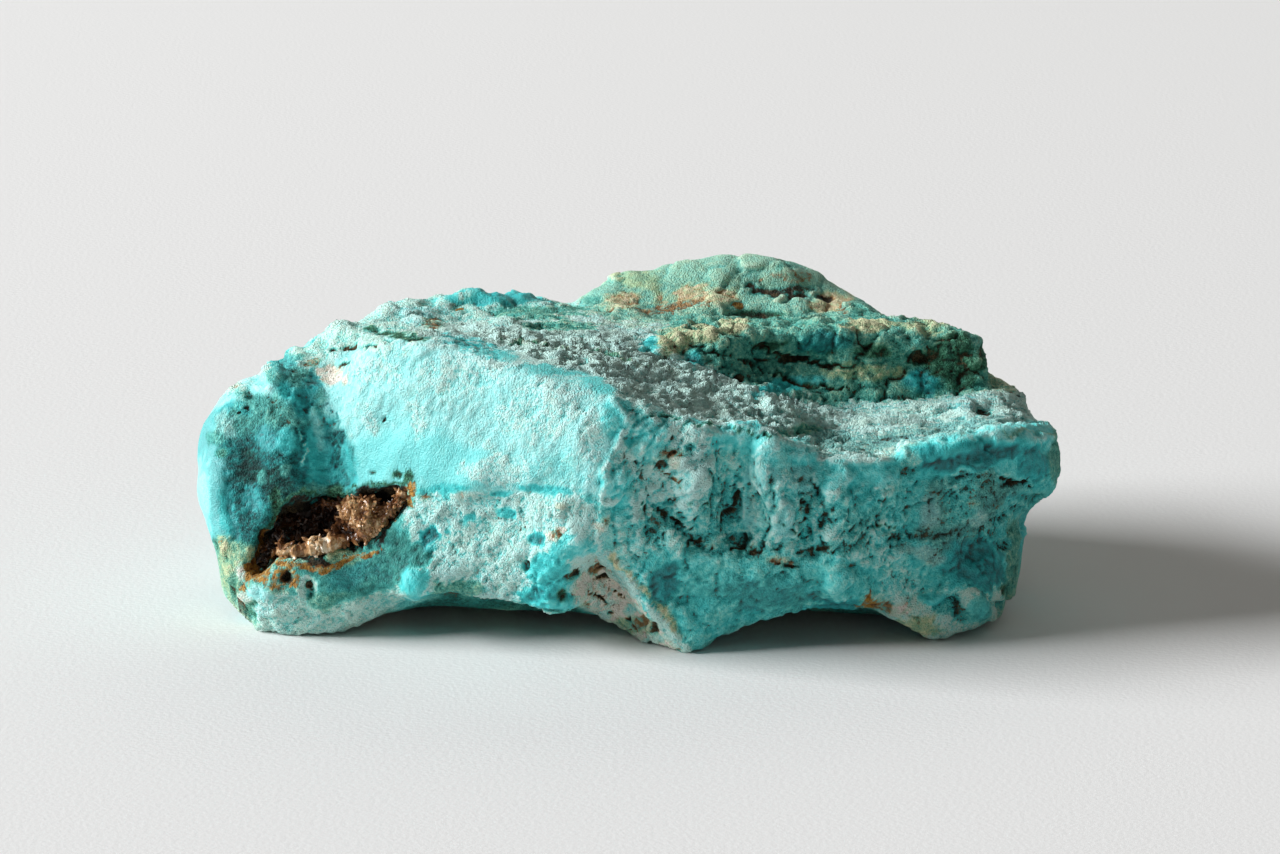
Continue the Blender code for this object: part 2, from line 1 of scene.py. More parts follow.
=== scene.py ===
# %% [markdown]
# # A raw turquoise nugget
# Turquoise grows as a mass of crystals too small to see, in the cracks of broken brown rock.
# A nugget split out of the rock keeps a waxy body, chalky weathered skin, brown creases where the
# rock clung to it and, here, one open pocket lined with rusty brown crystals.
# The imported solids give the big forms. This lesson adds what the eye reads as stone: a broken
# skin with a different grain on each side, and finishes that follow that grain.

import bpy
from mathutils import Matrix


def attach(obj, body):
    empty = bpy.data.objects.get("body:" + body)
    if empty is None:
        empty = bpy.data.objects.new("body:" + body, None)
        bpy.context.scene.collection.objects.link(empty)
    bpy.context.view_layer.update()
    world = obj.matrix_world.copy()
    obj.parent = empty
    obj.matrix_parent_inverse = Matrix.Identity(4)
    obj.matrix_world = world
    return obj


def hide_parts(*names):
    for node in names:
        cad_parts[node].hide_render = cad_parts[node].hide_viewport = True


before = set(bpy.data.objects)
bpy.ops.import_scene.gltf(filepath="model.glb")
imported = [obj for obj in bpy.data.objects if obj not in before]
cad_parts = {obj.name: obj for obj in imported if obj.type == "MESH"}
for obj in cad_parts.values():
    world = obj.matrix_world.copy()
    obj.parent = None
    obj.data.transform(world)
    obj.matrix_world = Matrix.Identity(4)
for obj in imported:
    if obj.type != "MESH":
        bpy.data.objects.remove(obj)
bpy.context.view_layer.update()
print("solids:", {name: len(node.data.polygons) for name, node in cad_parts.items()})

# %% [markdown]
# ## The camera
# The places of small marks are given below as (across, down) in a view 1280 wide and 854 high.
# The camera therefore comes first: it looks down at the stone by 15 degrees, from far enough
# away that the perspective is weak, as a long lens gives.

# %% Place the camera
import itertools
import math

import bpy
import numpy as np
from mathutils import Vector
from mathutils.bvhtree import BVHTree

MM = 0.001
VIEW_WIDE = 1280
VIEW_HIGH = 854
LENS = 156.25
SENSOR = 36.0
CAMERA_RISE = math.radians(15.0)
CAMERA_REACH = 320 * MM
AIM = Vector((0.673, -0.551, 9.6)) * MM

to_camera = Vector((0.0, -math.cos(CAMERA_RISE), math.sin(CAMERA_RISE)))
camera_up = Vector((0.0, math.sin(CAMERA_RISE), math.cos(CAMERA_RISE)))
eye = AIM + to_camera * CAMERA_REACH
bpy.ops.object.camera_add(location=eye, rotation=(math.pi / 2 - CAMERA_RISE, 0.0, 0.0))
camera = bpy.context.object
camera.name = "bench_camera"
camera.data.lens = LENS
camera.data.sensor_width = SENSOR
camera.data.clip_start = 10 * MM
camera.data.clip_end = 20.0
bpy.context.scene.camera = camera
print("camera at", [round(value / MM, 1) for value in eye], "mm")

# %% Find where a point falls in the view
VIEW_SCALE = VIEW_WIDE * LENS / SENSOR


def seen_at(points):
    """Across, down and distance in the camera's view, for points in metres."""
    offset = points - np.array(eye)
    depth = -(offset @ np.array(to_camera))
    across = VIEW_WIDE / 2 + VIEW_SCALE * offset[:, 0] / depth
    down = VIEW_HIGH / 2 - VIEW_SCALE * (offset @ np.array(camera_up)) / depth
    return across, down, depth


print("the aim falls at", [round(float(value[0]), 1) for value in seen_at(np.array([AIM]))[:2]])

# %% [markdown]
# ## Noise in millimetres
# Stone is broken at every size, and the same few patterns describe it: soft noise for swelling
# and grain, and cells for chips, crystals, crumbs and pits. Blender's Displace modifier has such
# textures, but it can't stretch them along a cleavage or keep each chip's own number. A few short
# functions on numpy arrays can, so the skin is moved in code as a sculptor would move it.

# %% Repeatable random numbers on a lattice
def lattice_numbers(cell, seed):
    """Three numbers from 0 to 1 for each whole-number cell, always the same for a seed."""
    cell = cell.astype(np.int64).astype(np.uint32)
    mix = cell[:, 0] * np.uint32(0x8DA6B343)
    mix = mix ^ (cell[:, 1] * np.uint32(0xD8163841))
    mix = mix ^ (cell[:, 2] * np.uint32(0xCB1AB31F))
    mix = mix ^ np.uint32((seed * 0x9E3779B1) & 0xFFFFFFFF)
    numbers = np.empty((len(mix), 3))
    for axis in range(3):
        mix = mix ^ (mix >> np.uint32(15))
        mix = mix * np.uint32(0x2C1B3C6D)
        mix = mix ^ (mix >> np.uint32(12))
        mix = mix * np.uint32(0x297A2D39)
        mix = mix ^ (mix >> np.uint32(15))
        numbers[:, axis] = (mix & np.uint32(0xFFFF)) / 65535.0
    return numbers


# %% Soft noise and its finer octaves
def soft_noise(places, seed):
    """Smooth noise from about -1 to 1 with swellings one unit apart."""
    cell = np.floor(places)
    inside = places - cell
    blend = inside**3 * (inside * (inside * 6 - 15) + 10)
    total = np.zeros(len(places))
    for corner in itertools.product((0, 1), repeat=3):
        slope = lattice_numbers(cell + corner, seed) * 2 - 1
        share = np.prod(np.where(corner, blend, 1 - blend), axis=1)
        total += share * np.sum(slope * (inside - corner), axis=1)
    return total * 1.7


def layered_noise(places, seed, octaves=3, fade=0.55):
    """Soft noise with octaves of half its size laid over it."""
    total = np.zeros(len(places))
    height = 1.0
    for octave in range(octaves):
        total += height * soft_noise(places * 2.03**octave, seed + octave)
        height *= fade
    return total


# %% Cells, the pattern of chips, crumbs and pits
def cells(places, seed, spread=0.9):
    """Distance to the nearest and next cell centre, the cell's numbers and the way to its centre."""
    home = np.floor(places)
    nearest = np.full(len(places), 9.0)
    second = np.full(len(places), 9.0)
    own = np.zeros((len(places), 3))
    way = np.zeros((len(places), 3))
    for step in itertools.product((-1, 0, 1), repeat=3):
        numbers = lattice_numbers(home + step, seed)
        toward = home + step + 0.5 + (numbers - 0.5) * spread - places
        distance = np.sqrt(np.sum(toward**2, axis=1))
        closer = distance < nearest
        second = np.where(closer, nearest, np.minimum(second, distance))
        nearest = np.where(closer, distance, nearest)
        own[closer] = numbers[closer]
        way[closer] = toward[closer]
    return nearest, second, own, way


def eased(values, low, high):
    """0 below low, 1 above high and a smooth rise between."""
    t = np.clip((values - low) / (high - low), 0, 1)
    return t * t * (3 - 2 * t)


print("noise check:", round(float(soft_noise(np.array([[0.3, 0.6, 0.9]]), 7)[0]), 4))

# %% [markdown]
# ## A skin fine enough to carve
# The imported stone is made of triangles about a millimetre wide. Its copy is merged, because the
# packed triangles are loose, and then rebuilt by Voxel Remesh with faces a third of a millimetre
# wide. A few rounds of smoothing melt the old triangle edges away and leave the forms.

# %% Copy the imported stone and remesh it
SKIN_VOXEL = 0.35 * MM
MELT_ROUNDS = 2


def working_copy(node_name, name):
    """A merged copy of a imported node, selected and ready for modifiers."""
    bpy.ops.object.select_all(action="DESELECT")
    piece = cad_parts[node_name].copy()
    piece.data = piece.data.copy()
    piece.name = name
    for key in list(piece.keys()):
        del piece[key]
    piece.parent = None
    bpy.context.scene.collection.objects.link(piece)
    piece.select_set(True)
    bpy.context.view_layer.objects.active = piece
    bpy.ops.object.mode_set(mode="EDIT")
    bpy.ops.mesh.select_all(action="SELECT")
    bpy.ops.mesh.remove_doubles(threshold=1e-6)
    bpy.ops.mesh.normals_make_consistent(inside=False)
    bpy.ops.object.mode_set(mode="OBJECT")
    return piece


def remesh(piece, voxel):
    """Rebuilds the piece's skin as even small faces."""
    modifier = piece.modifiers.new("even_skin", "REMESH")
    modifier.mode = "VOXEL"
    modifier.voxel_size = voxel
    bpy.ops.object.modifier_apply(modifier=modifier.name)


stone = working_copy("turquoise_stone", "broken_turquoise")
remesh(stone, SKIN_VOXEL)
print("stone skin:", len(stone.data.vertices), "points")

# %% Read and write a mesh as arrays
def points_of(piece):
    flat = np.empty(len(piece.data.vertices) * 3)
    piece.data.vertices.foreach_get("co", flat)
    return flat.reshape(-1, 3)


def set_points(piece, points):
    piece.data.vertices.foreach_set("co", points.ravel())
    piece.data.update()


def normals_of(piece):
    flat = np.empty(len(piece.data.vertices) * 3)
    piece.data.vertex_normals.foreach_get("vector", flat)
    return flat.reshape(-1, 3)


def edges_of(piece):
    flat = np.empty(len(piece.data.edges) * 2, dtype=np.int32)
    piece.data.edges.foreach_get("vertices", flat)
    return flat.reshape(-1, 2)


def melted(values, edges, rounds, share=0.5):
    """Values on the points, each drawn towards the mean of its neighbours, round after round."""
    values = np.array(values, dtype=float)
    flat = values.reshape(len(values), -1)
    count = len(flat)
    joined = np.concatenate((edges, edges[:, ::-1]))
    degree = np.bincount(joined[:, 0], minlength=count)[:, None]
    for _ in range(rounds):
        mean = np.stack(
            [np.bincount(joined[:, 0], weights=column[joined[:, 1]], minlength=count) for column in flat.T],
            axis=1,
        )
        flat = flat + share * (mean / degree - flat)
    return flat.reshape(values.shape)


body = melted(points_of(stone), edges_of(stone), MELT_ROUNDS)
set_points(stone, body)
print("stone size:", np.ptp(body / MM, axis=0).round(2), "mm")

# %% [markdown]
# ## Which points the camera sees
# Marks given in the view belong only to the skin that the camera sees. A ray from every point
# towards the camera tells which points are hidden. The faces in sight are cut in four, so that the
# finest chips can be carved there. At the border a mark is not cut off: it spreads over the edge
# and fades out within about two millimetres, as a real stain would.

# %% Cast a ray from each point to the camera
GRAZING = 0.03
RAY_START = 0.15 * MM


def points_in_sight(piece, points, normals):
    """1 for each point with a free line to the camera and 0 for the others."""
    tree = BVHTree.FromPolygons(
        [tuple(point) for point in points],
        [tuple(face.vertices) for face in piece.data.polygons],
    )
    view_line = np.array(eye) - points
    view_line /= np.linalg.norm(view_line, axis=1)[:, None]
    fronting = np.sum(normals * view_line, axis=1)
    free = np.zeros(len(points))
    for index in np.nonzero(fronting > GRAZING)[0]:
        start = Vector(points[index] + normals[index] * RAY_START)
        if tree.ray_cast(start, Vector(view_line[index]))[0] is None:
            free[index] = 1.0
    return free


# %% Cut the faces in sight in four
seen = points_in_sight(stone, body, normals_of(stone))
bpy.ops.object.mode_set(mode="EDIT")
bpy.ops.mesh.select_mode(type="FACE")
bpy.ops.mesh.select_all(action="DESELECT")
bpy.ops.object.mode_set(mode="OBJECT")
for face in stone.data.polygons:
    face.select = any(seen[corner] for corner in face.vertices)
bpy.ops.object.mode_set(mode="EDIT")
bpy.ops.mesh.subdivide(number_cuts=1)
bpy.ops.object.mode_set(mode="OBJECT")
edges = edges_of(stone)
body = melted(points_of(stone), edges, MELT_ROUNDS)
set_points(stone, body)
facing = normals_of(stone)
body_mm = body / MM
seen = points_in_sight(stone, body, facing)
across, down, depth = seen_at(body)
print("points in sight:", int(seen.sum()), "of", len(seen))

# %% Carry what is seen a little way round the edges
SPREAD_ROUNDS = 80
seen_share = melted(seen, edges, SPREAD_ROUNDS)


def spread_over_edges(values):
    """Values known only where the camera sees, carried a little way round the edges."""
    carried = melted(values * seen[:, None], edges, SPREAD_ROUNDS)
    return np.where(seen[:, None] > 0, values, carried / np.maximum(seen_share, 1e-4)[:, None])


in_view = np.where(seen > 0, 1.0, eased(seen_share, 0.02, 0.35))
print("share of points that the map reaches:", round(float((in_view > 0.5).mean()), 2))

# %% [markdown]
# ## Grains of the broken skin
# Each side of the stone broke in its own way. A grain is a short list of layers, each with a
# pattern, its size and its height in millimetres, and the direction it is drawn out along.
# Facets are flat tilted chips, shingles are chips that overlap like roof tiles, terraces are long
# steps, lumps are rounded swellings with creases between them, pits are scattered holes, crusty
# is torn rock, and grain is plain roughness.

# %% Directions that grains are drawn out along
DRAWN = {
    "even": ((1, 0, 0), (1.0, 1.0, 1.0)),
    "slanting": ((1, 0, 1.3), (1.0, 0.5, 0.5)),
    "bedded": ((1, 0, 0.02), (1.0, 0.34, 0.22)),
    "upright": ((0.15, 0, 1), (1.0, 0.5, 0.5)),
    "sweeping": ((1, 0.25, -0.22), (1.0, 0.3, 0.25)),
}


def drawn_out(points_mm, size, direction):
    """Places in units of the pattern, turned and stretched along a direction."""
    along, stretch = DRAWN[direction]
    along = np.array(along, dtype=float)
    along /= np.linalg.norm(along)
    side = np.cross((0.0, 1.0, 0.0), along)
    side /= np.linalg.norm(side)
    axes = np.stack((along, side, np.cross(along, side)))
    return (points_mm @ axes.T) / (np.array(stretch) * size)


# %% Patterns made of cells: each gives height, the chip's own paleness and how deep its seam is
SEAM = 0.13
CREASE = 0.16


def warped(places, seed):
    """The places bent a little, so that cells lose their straight sides."""
    return places + 0.2 * soft_noise(places * 2.1, seed)[:, None]


def bent_cells(places, seed, spread=0.9):
    return cells(warped(places, seed + 9), seed, spread)


def valley(nearest, second, width):
    """1 on the border between two cells, falling to 0 within a width."""
    return np.exp(-(((second - nearest) / width) ** 2))


def facets(places, seed):
    """Flat chips, each with its own tilt and step, and a fine seam between them."""
    nearest, second, own, way = bent_cells(places, seed)
    tilt = np.sum(way * (own - 0.5), axis=1) * 1.6
    step = (own[:, 0] - 0.5) * 0.8
    seam = valley(nearest, second, SEAM)
    return tilt + step - 0.45 * seam, own[:, 1] * 2 - 1, seam


def shingles(places, seed):
    """Chips that all rise along their length, so that each one lies nearly level."""
    nearest, second, own, way = bent_cells(places, seed)
    seam = valley(nearest, second, SEAM)
    return (own[:, 0] - 0.5) * 0.4 - way[:, 0] - 0.3 * seam, own[:, 1] * 2 - 1, seam


def lumps(places, seed):
    """Rounded swellings that meet in creases."""
    nearest, second, own, _ = bent_cells(places, seed)
    dome = 0.75 - 1.25 * nearest**2 + (own[:, 0] - 0.5) * 0.7
    crease = valley(nearest, second, CREASE)
    return dome - 0.55 * crease, own[:, 1] * 2 - 1, crease


def pits(places, seed):
    """Scattered holes, each of its own width, with none in most cells."""
    nearest, _, own, _ = bent_cells(places, seed, spread=0.7)
    width = 0.16 + 0.26 * own[:, 1]
    hole = eased(1 - nearest / width, 0.0, 0.8) * (own[:, 2] < 0.42)
    return -hole, -hole, hole


# %% Patterns made of soft noise, with the same three results
def grain(places, seed):
    """Plain roughness with three octaves."""
    height = layered_noise(places, seed)
    return height, height * 0.6, np.zeros(len(places))


def crusty(places, seed):
    """Ridges that fold into each other, as on torn or crumbly rock."""
    fold = np.abs(soft_noise(places, seed))
    height = 0.55 - 1.9 * fold + 0.45 * soft_noise(places * 2.1, seed + 5)
    return height, height * 0.5, eased(fold, 0.35, 0.6)


def terraces(places, seed):
    """Long steps across the beds, as where thin beds broke off one by one."""
    bent = places[:, 2] + 1.1 * soft_noise(places * (0.8, 0.8, 0.25), seed)
    bed = np.floor(bent)
    inside = bent - bed
    fading = eased(soft_noise(places * (1.3, 1.0, 0.3), seed + 3), -0.35, 0.25)
    height = ((1 - inside) * eased(inside, 0.0, 0.08) - 0.5) * fading
    own = lattice_numbers(np.stack((bed, np.floor(places[:, 0] * 2), bed), axis=1), seed)[:, 1]
    return height, own * 2 - 1, eased(inside, 0.86, 1.0) * fading


PATTERNS = {"terraces": terraces, "facets": facets, "shingles": shingles, "lumps": lumps,
            "pits": pits, "grain": grain, "crusty": crusty}
print("patterns:", ", ".join(PATTERNS))

# %% The grain of each kind of break: pattern, size and height in mm, direction
GRAINS = {
    "polished": [("grain", 2.6, 0.06, "even"), ("facets", 1.6, 0.02, "upright")],
    "waxy": [("facets", 1.25, 0.085, "slanting"), ("facets", 0.62, 0.05, "slanting"),
             ("grain", 2.4, 0.08, "even")],
    "sugary": [("facets", 0.5, 0.11, "even"), ("crusty", 1.1, 0.10, "even"), ("pits", 1.1, 0.16, "even")],
    "chalky": [("facets", 0.75, 0.12, "slanting"), ("crusty", 1.3, 0.08, "even"),
               ("facets", 0.42, 0.06, "even")],
    "veined": [("grain", 1.8, 0.08, "sweeping"), ("facets", 0.7, 0.06, "sweeping"),
               ("facets", 0.4, 0.03, "even")],
    "foliated": [("terraces", 6.0, 0.34, "bedded"), ("facets", 2.3, 0.10, "bedded"),
                 ("facets", 1.0, 0.07, "bedded"), ("crusty", 1.4, 0.04, "bedded"),
                 ("facets", 0.5, 0.11, "even")],
    "stepped": [("terraces", 6.0, 0.25, "bedded"), ("shingles", 1.2, 0.42, "bedded"),
                ("facets", 0.5, 0.11, "even"), ("crusty", 1.4, 0.04, "bedded")],
    "lumpy": [("lumps", 2.1, 0.17, "upright"), ("facets", 0.95, 0.15, "even"),
              ("crusty", 0.8, 0.05, "even"), ("facets", 0.42, 0.10, "even"), ("pits", 1.7, 0.14, "even")],
    "hammered": [("lumps", 1.7, 0.24, "slanting"), ("facets", 0.85, 0.15, "even"),
                 ("facets", 0.42, 0.09, "even")],
    "knotted": [("facets", 2.0, 0.16, "even"), ("crusty", 1.2, 0.09, "even"),
                ("facets", 0.6, 0.08, "even")],
    "blocky": [("facets", 1.9, 0.34, "even"), ("lumps", 1.0, 0.12, "even"), ("facets", 0.42, 0.07, "even")],
    "crisp": [("facets", 1.7, 0.15, "even"), ("facets", 0.8, 0.10, "even"),
              ("facets", 0.42, 0.06, "even"), ("pits", 1.5, 0.12, "even")],
    "smooth": [("grain", 2.0, 0.08, "even"), ("facets", 0.9, 0.08, "even"), ("facets", 0.42, 0.06, "even")],
    "torn": [("crusty", 0.9, 0.13, "even"), ("facets", 0.55, 0.11, "even"), ("pits", 1.2, 0.12, "even")],
}
print("grains:", ", ".join(GRAINS))

# %% [markdown]
# ## Finishes
# One set of sliders describes any spot of the skin: how light the turquoise is, how far it leans
# to green, how milky it has weathered, how much brown mother rock covers it and how pale that
# rock is, how much rust stains it, how many dark specks it has, and how glossy it is. Naming a
# finish once keeps the same colour the same all over.

# %% Sliders of each named finish: tone, green, milk, rock, rock_tone, rust, specks, gloss
SLIDERS = ("tone", "green", "milk", "rock", "rock_tone", "rust", "specks", "gloss")
FINISHES = {
    "waxy": (0.77, 0.00, 0.36, 0.0, 0.6, 0.0, 0.0, 0.6),
    "glassy": (0.42, 0.00, 0.15, 0.0, 0.6, 0.0, 0.0, 0.85),
    "aqua": (0.72, 0.04, 0.22, 0.0, 0.6, 0.0, 0.05, 0.5),
    "sky": (0.76, 0.00, 0.30, 0.0, 0.6, 0.0, 0.0, 0.7),
    "vivid": (0.70, 0.00, 0.00, 0.0, 0.6, 0.0, 0.0, 0.65),
    "pale": (0.92, 0.04, 0.18, 0.0, 0.6, 0.0, 0.0, 0.3),
    "frosted": (1.00, 0.05, 0.00, 0.0, 0.6, 0.0, 0.06, 0.2),
    "chalk": (0.97, 0.10, 0.06, 0.0, 0.8, 0.0, 0.0, 0.05),
    "frost": (0.64, 0.18, 0.40, 0.0, 0.8, 0.0, 0.20, 0.1),
    "clear": (0.52, 0.00, 0.00, 0.0, 0.5, 0.0, 0.0, 0.8),
    "lagoon": (0.62, 0.10, 0.02, 0.0, 0.5, 0.0, 0.05, 0.45),
    "blue": (0.36, 0.00, 0.00, 0.0, 0.5, 0.0, 0.0, 0.8),
    "deep": (0.27, 0.02, 0.00, 0.0, 0.4, 0.0, 0.0, 0.8),
    "teal": (0.40, 0.15, 0.05, 0.0, 0.4, 0.0, 0.15, 0.5),
    "jade": (0.35, 0.42, 0.00, 0.0, 0.4, 0.0, 0.10, 0.6),
    "granular": (0.46, 0.40, 0.10, 0.0, 0.3, 0.0, 0.34, 0.2),
    "mottled": (0.80, 0.09, 0.00, 0.0, 0.4, 0.0, 0.10, 0.35),
    "stained": (0.20, 0.18, 0.00, 0.0, 0.3, 0.0, 0.04, 0.4),
    "mint": (0.93, 0.20, 0.05, 0.0, 0.7, 0.0, 0.04, 0.2),
    "sage": (0.74, 0.95, 0.05, 0.0, 0.7, 0.0, 0.12, 0.2),
    "fern": (0.46, 0.85, 0.05, 0.0, 0.5, 0.0, 0.20, 0.2),
    "moss": (0.55, 0.62, 0.00, 0.0, 0.4, 0.0, 0.16, 0.2),
    "olive": (0.26, 1.00, 0.00, 0.18, 0.32, 0.35, 0.34, 0.2),
    "lichen": (0.86, 1.00, 0.05, 0.1, 0.9, 0.1, 0.10, 0.1),
    "cream": (1.10, 0.50, 0.30, 0.76, 1.15, 0.0, 0.04, 0.05),
    "pinkish": (0.98, 0.30, 0.50, 0.62, 1.08, 0.10, 0.1, 0.05),
    "tan": (0.70, 0.60, 0.20, 0.62, 0.60, 0.25, 0.2, 0.1),
    "brown": (0.40, 0.60, 0.00, 0.55, 0.26, 0.05, 0.60, 0.1),
    # Black: dark rock in pits and cracks, with painted shade inside the holes, slots and cracks it fills.
    "black_rock_and_hole_shade": (0.20, 0.60, 0.00, 0.58, 0.04, 0.0, 0.95, 0.1),
    "rust": (0.50, 0.60, 0.00, 0.85, 0.60, 0.98, 0.08, 0.3),
    "smoky": (1.10, 0.12, 0.26, 0.0, 0.45, 0.0, 0.10, 0.2),
    "dusk": (1.00, 0.14, 0.16, 0.0, 0.45, 0.0, 0.12, 0.2),
    "speckled": (0.62, 0.12, 0.04, 0.02, 0.25, 0.0, 0.26, 0.2),
    # The underside's dark green finish is painted shade under the stone.
    "underside_painted_shade": (0.20, 0.55, 0.00, 0.0, 0.3, 0.0, 0.2, 0.3),
    "peppered": (0.60, 0.18, 0.04, 0.04, 0.25, 0.0, 0.42, 0.2),
    "pool": (0.61, 0.00, 0.18, 0.0, 0.6, 0.0, 0.0, 0.8),
    "ashen": (0.42, 0.34, 0.16, 0.04, 0.4, 0.1, 0.50, 0.1),
    "buff": (0.88, 1.00, 0.00, 0.60, 0.86, 0.45, 0.1, 0.3),
    "slate": (0.24, 0.20, 0.00, 0.0, 0.6, 0.0, 0.0, 0.6),
    "celadon": (0.72, 0.60, 0.15, 0.0, 0.5, 0.0, 0.05, 0.2),
    "shady": (0.10, 0.45, 0.00, 0.0, 0.3, 0.0, 0.20, 0.3),
    # A near-black brown for the pocket's walls: painted shade inside the deep pocket, over its brown lining.
    "brown_rock_and_pocket_shade": (0.05, 0.60, 0.00, 1.0, -0.2, 0.0, 1.0, 0.3),
}
print("finishes:", ", ".join(FINISHES))

# %% [markdown]
# ## The map of the stone
# The side towards the camera is mapped by outlines drawn in the view, each with its grain and its
# finish, and a later outline covers the ones before it. Over them come single marks, such as a
# blue pool, a chalk crumb or a pit, and lines for cracks, seams and ridges.

# %% Outlines: grain, finish, how soft the border is, corner points across and down
ZONES = {
    "crest_behind": ("knotted", "mint", 8, [(285, 362), (315, 340), (360, 316), (410, 296), (465, 288),
        (570, 290), (600, 280), (610, 330), (520, 330), (440, 342), (390, 338), (350, 356)]),
    "bedded_top": ("foliated", "smoky", 7, [(390, 338), (440, 325), (520, 318), (600, 312), (650, 322),
        (690, 352), (740, 374), (800, 398), (900, 398), (985, 388), (1040, 400), (1064, 430), (1038, 422),
        (1008, 427), (938, 442), (888, 458), (850, 463), (830, 463), (760, 432), (700, 428), (605, 396),
        (530, 371), (440, 346)]),
    "top_steps": ("stepped", "smoky", 7, [(470, 326), (600, 334), (690, 366), (740, 384), (820, 404),
        (838, 440), (800, 446), (756, 430), (700, 422), (640, 404), (600, 376), (520, 356)]),
    "polished_strip": ("polished", "vivid", 3, [(500, 352), (516, 350), (530, 356), (560, 366),
        (604, 378), (630, 402), (642, 426), (622, 426), (600, 406), (570, 396), (530, 384), (496, 364)]),
    "back_hump": ("knotted", "celadon", 7, [(575, 300), (595, 270), (640, 258), (725, 238), (820, 250),
        (890, 308), (895, 326), (780, 326), (680, 326), (610, 322)]),
    "upper_ledge": ("blocky", "moss", 6, [(655, 330), (690, 318), (890, 318), (960, 320), (985, 345),
        (990, 388), (900, 402), (800, 402), (740, 376), (680, 352)]),
    "waxy_face": ("waxy", "waxy", 9, [(310, 372), (350, 352), (390, 338), (440, 345), (530, 371),
        (605, 396), (628, 430), (604, 470), (602, 500), (500, 492), (420, 492), (350, 480), (335, 440)]),
    "smooth_pool": ("polished", "pool", 12, [(348, 446), (380, 428), (440, 434), (490, 452), (520, 484),
        (430, 490), (350, 486)]),
    "left_dome": ("sugary", "granular", 8, [(205, 405), (245, 388), (300, 362), (322, 400), (320, 450),
        (260, 470), (215, 455)]),
    "left_side": ("veined", "stained", 8, [(215, 440), (300, 430), (345, 430), (352, 500), (290, 520),
        (240, 560), (222, 540)]),
    "left_band": ("polished", "glassy", 5, [(185, 385), (230, 385), (214, 430), (226, 470), (228, 545),
        (205, 560), (185, 500)]),
    "chalk_belt": ("chalky", "frosted", 9, [(398, 488), (470, 496), (600, 494), (606, 545), (578, 570),
        (575, 615), (520, 605), (440, 612), (402, 590), (392, 540)]),
    "lower_slab": ("veined", "jade", 8, [(240, 575), (300, 540), (345, 548), (400, 520), (412, 560),
        (402, 592), (330, 612), (255, 634), (236, 600)]),
    "lower_bevel": ("chalky", "mint", 5, [(250, 616), (330, 606), (400, 584), (420, 600), (400, 616),
        (330, 645), (250, 645)]),
    "left_foot_side": ("knotted", "fern", 6, [(205, 540), (240, 535), (258, 580), (255, 640), (225, 600)]),
    "recess": ("crisp", "cream", 6, [(574, 552), (600, 552), (640, 600), (688, 648), (640, 655),
        (600, 630), (576, 612)]),
    "right_face": ("lumpy", "mottled", 9, [(628, 400), (700, 427), (760, 432), (830, 464), (905, 462),
        (985, 470), (1010, 520), (960, 590), (870, 616), (775, 626), (700, 655), (604, 552), (602, 470)]),
    "right_upper": ("hammered", "frosted", 9, [(626, 404), (700, 432), (714, 470), (700, 500), (640, 520),
        (606, 500), (606, 470)]),
    "top_terraces": ("stepped", "dusk", 8, [(720, 384), (820, 400), (850, 440), (830, 462), (760, 430),
        (706, 420)]),
    "right_low": ("crisp", "lagoon", 10, [(640, 560), (700, 548), (830, 556), (880, 570), (880, 600),
        (775, 632), (695, 655)]),
    "under_brow": ("smooth", "vivid", 8, [(690, 424), (760, 430), (830, 463), (888, 458), (938, 442),
        (1008, 427), (1038, 422), (1064, 432), (1064, 470), (1000, 480), (900, 482), (820, 486),
        (740, 450)]),
    "right_end": ("crisp", "lagoon", 8, [(905, 480), (1000, 476), (1066, 464), (1064, 486), (1020, 515),
        (1022, 560), (1000, 592), (930, 590), (900, 540)]),
    "right_network": ("crisp", "ashen", 8, [(925, 486), (985, 474), (1018, 486), (1000, 515), (975, 538),
        (940, 552), (905, 530), (930, 508)]),
    "right_foot": ("knotted", "mint", 6, [(862, 606), (890, 596), (960, 592), (1005, 580), (1000, 630),
        (935, 648), (905, 636), (880, 620)]),
    # The pocket's walls are painted near black: painted shade inside the deep pocket.
    "pocket": ("torn", "brown_rock_and_pocket_shade", 2, [(246, 582), (258, 560), (266, 534), (282, 502), (300, 494),
        (334, 502), (362, 486), (408, 486), (411, 500), (392, 518), (384, 546), (345, 556), (325, 568),
        (290, 560), (262, 574)]),
}
print("zones:", len(ZONES))
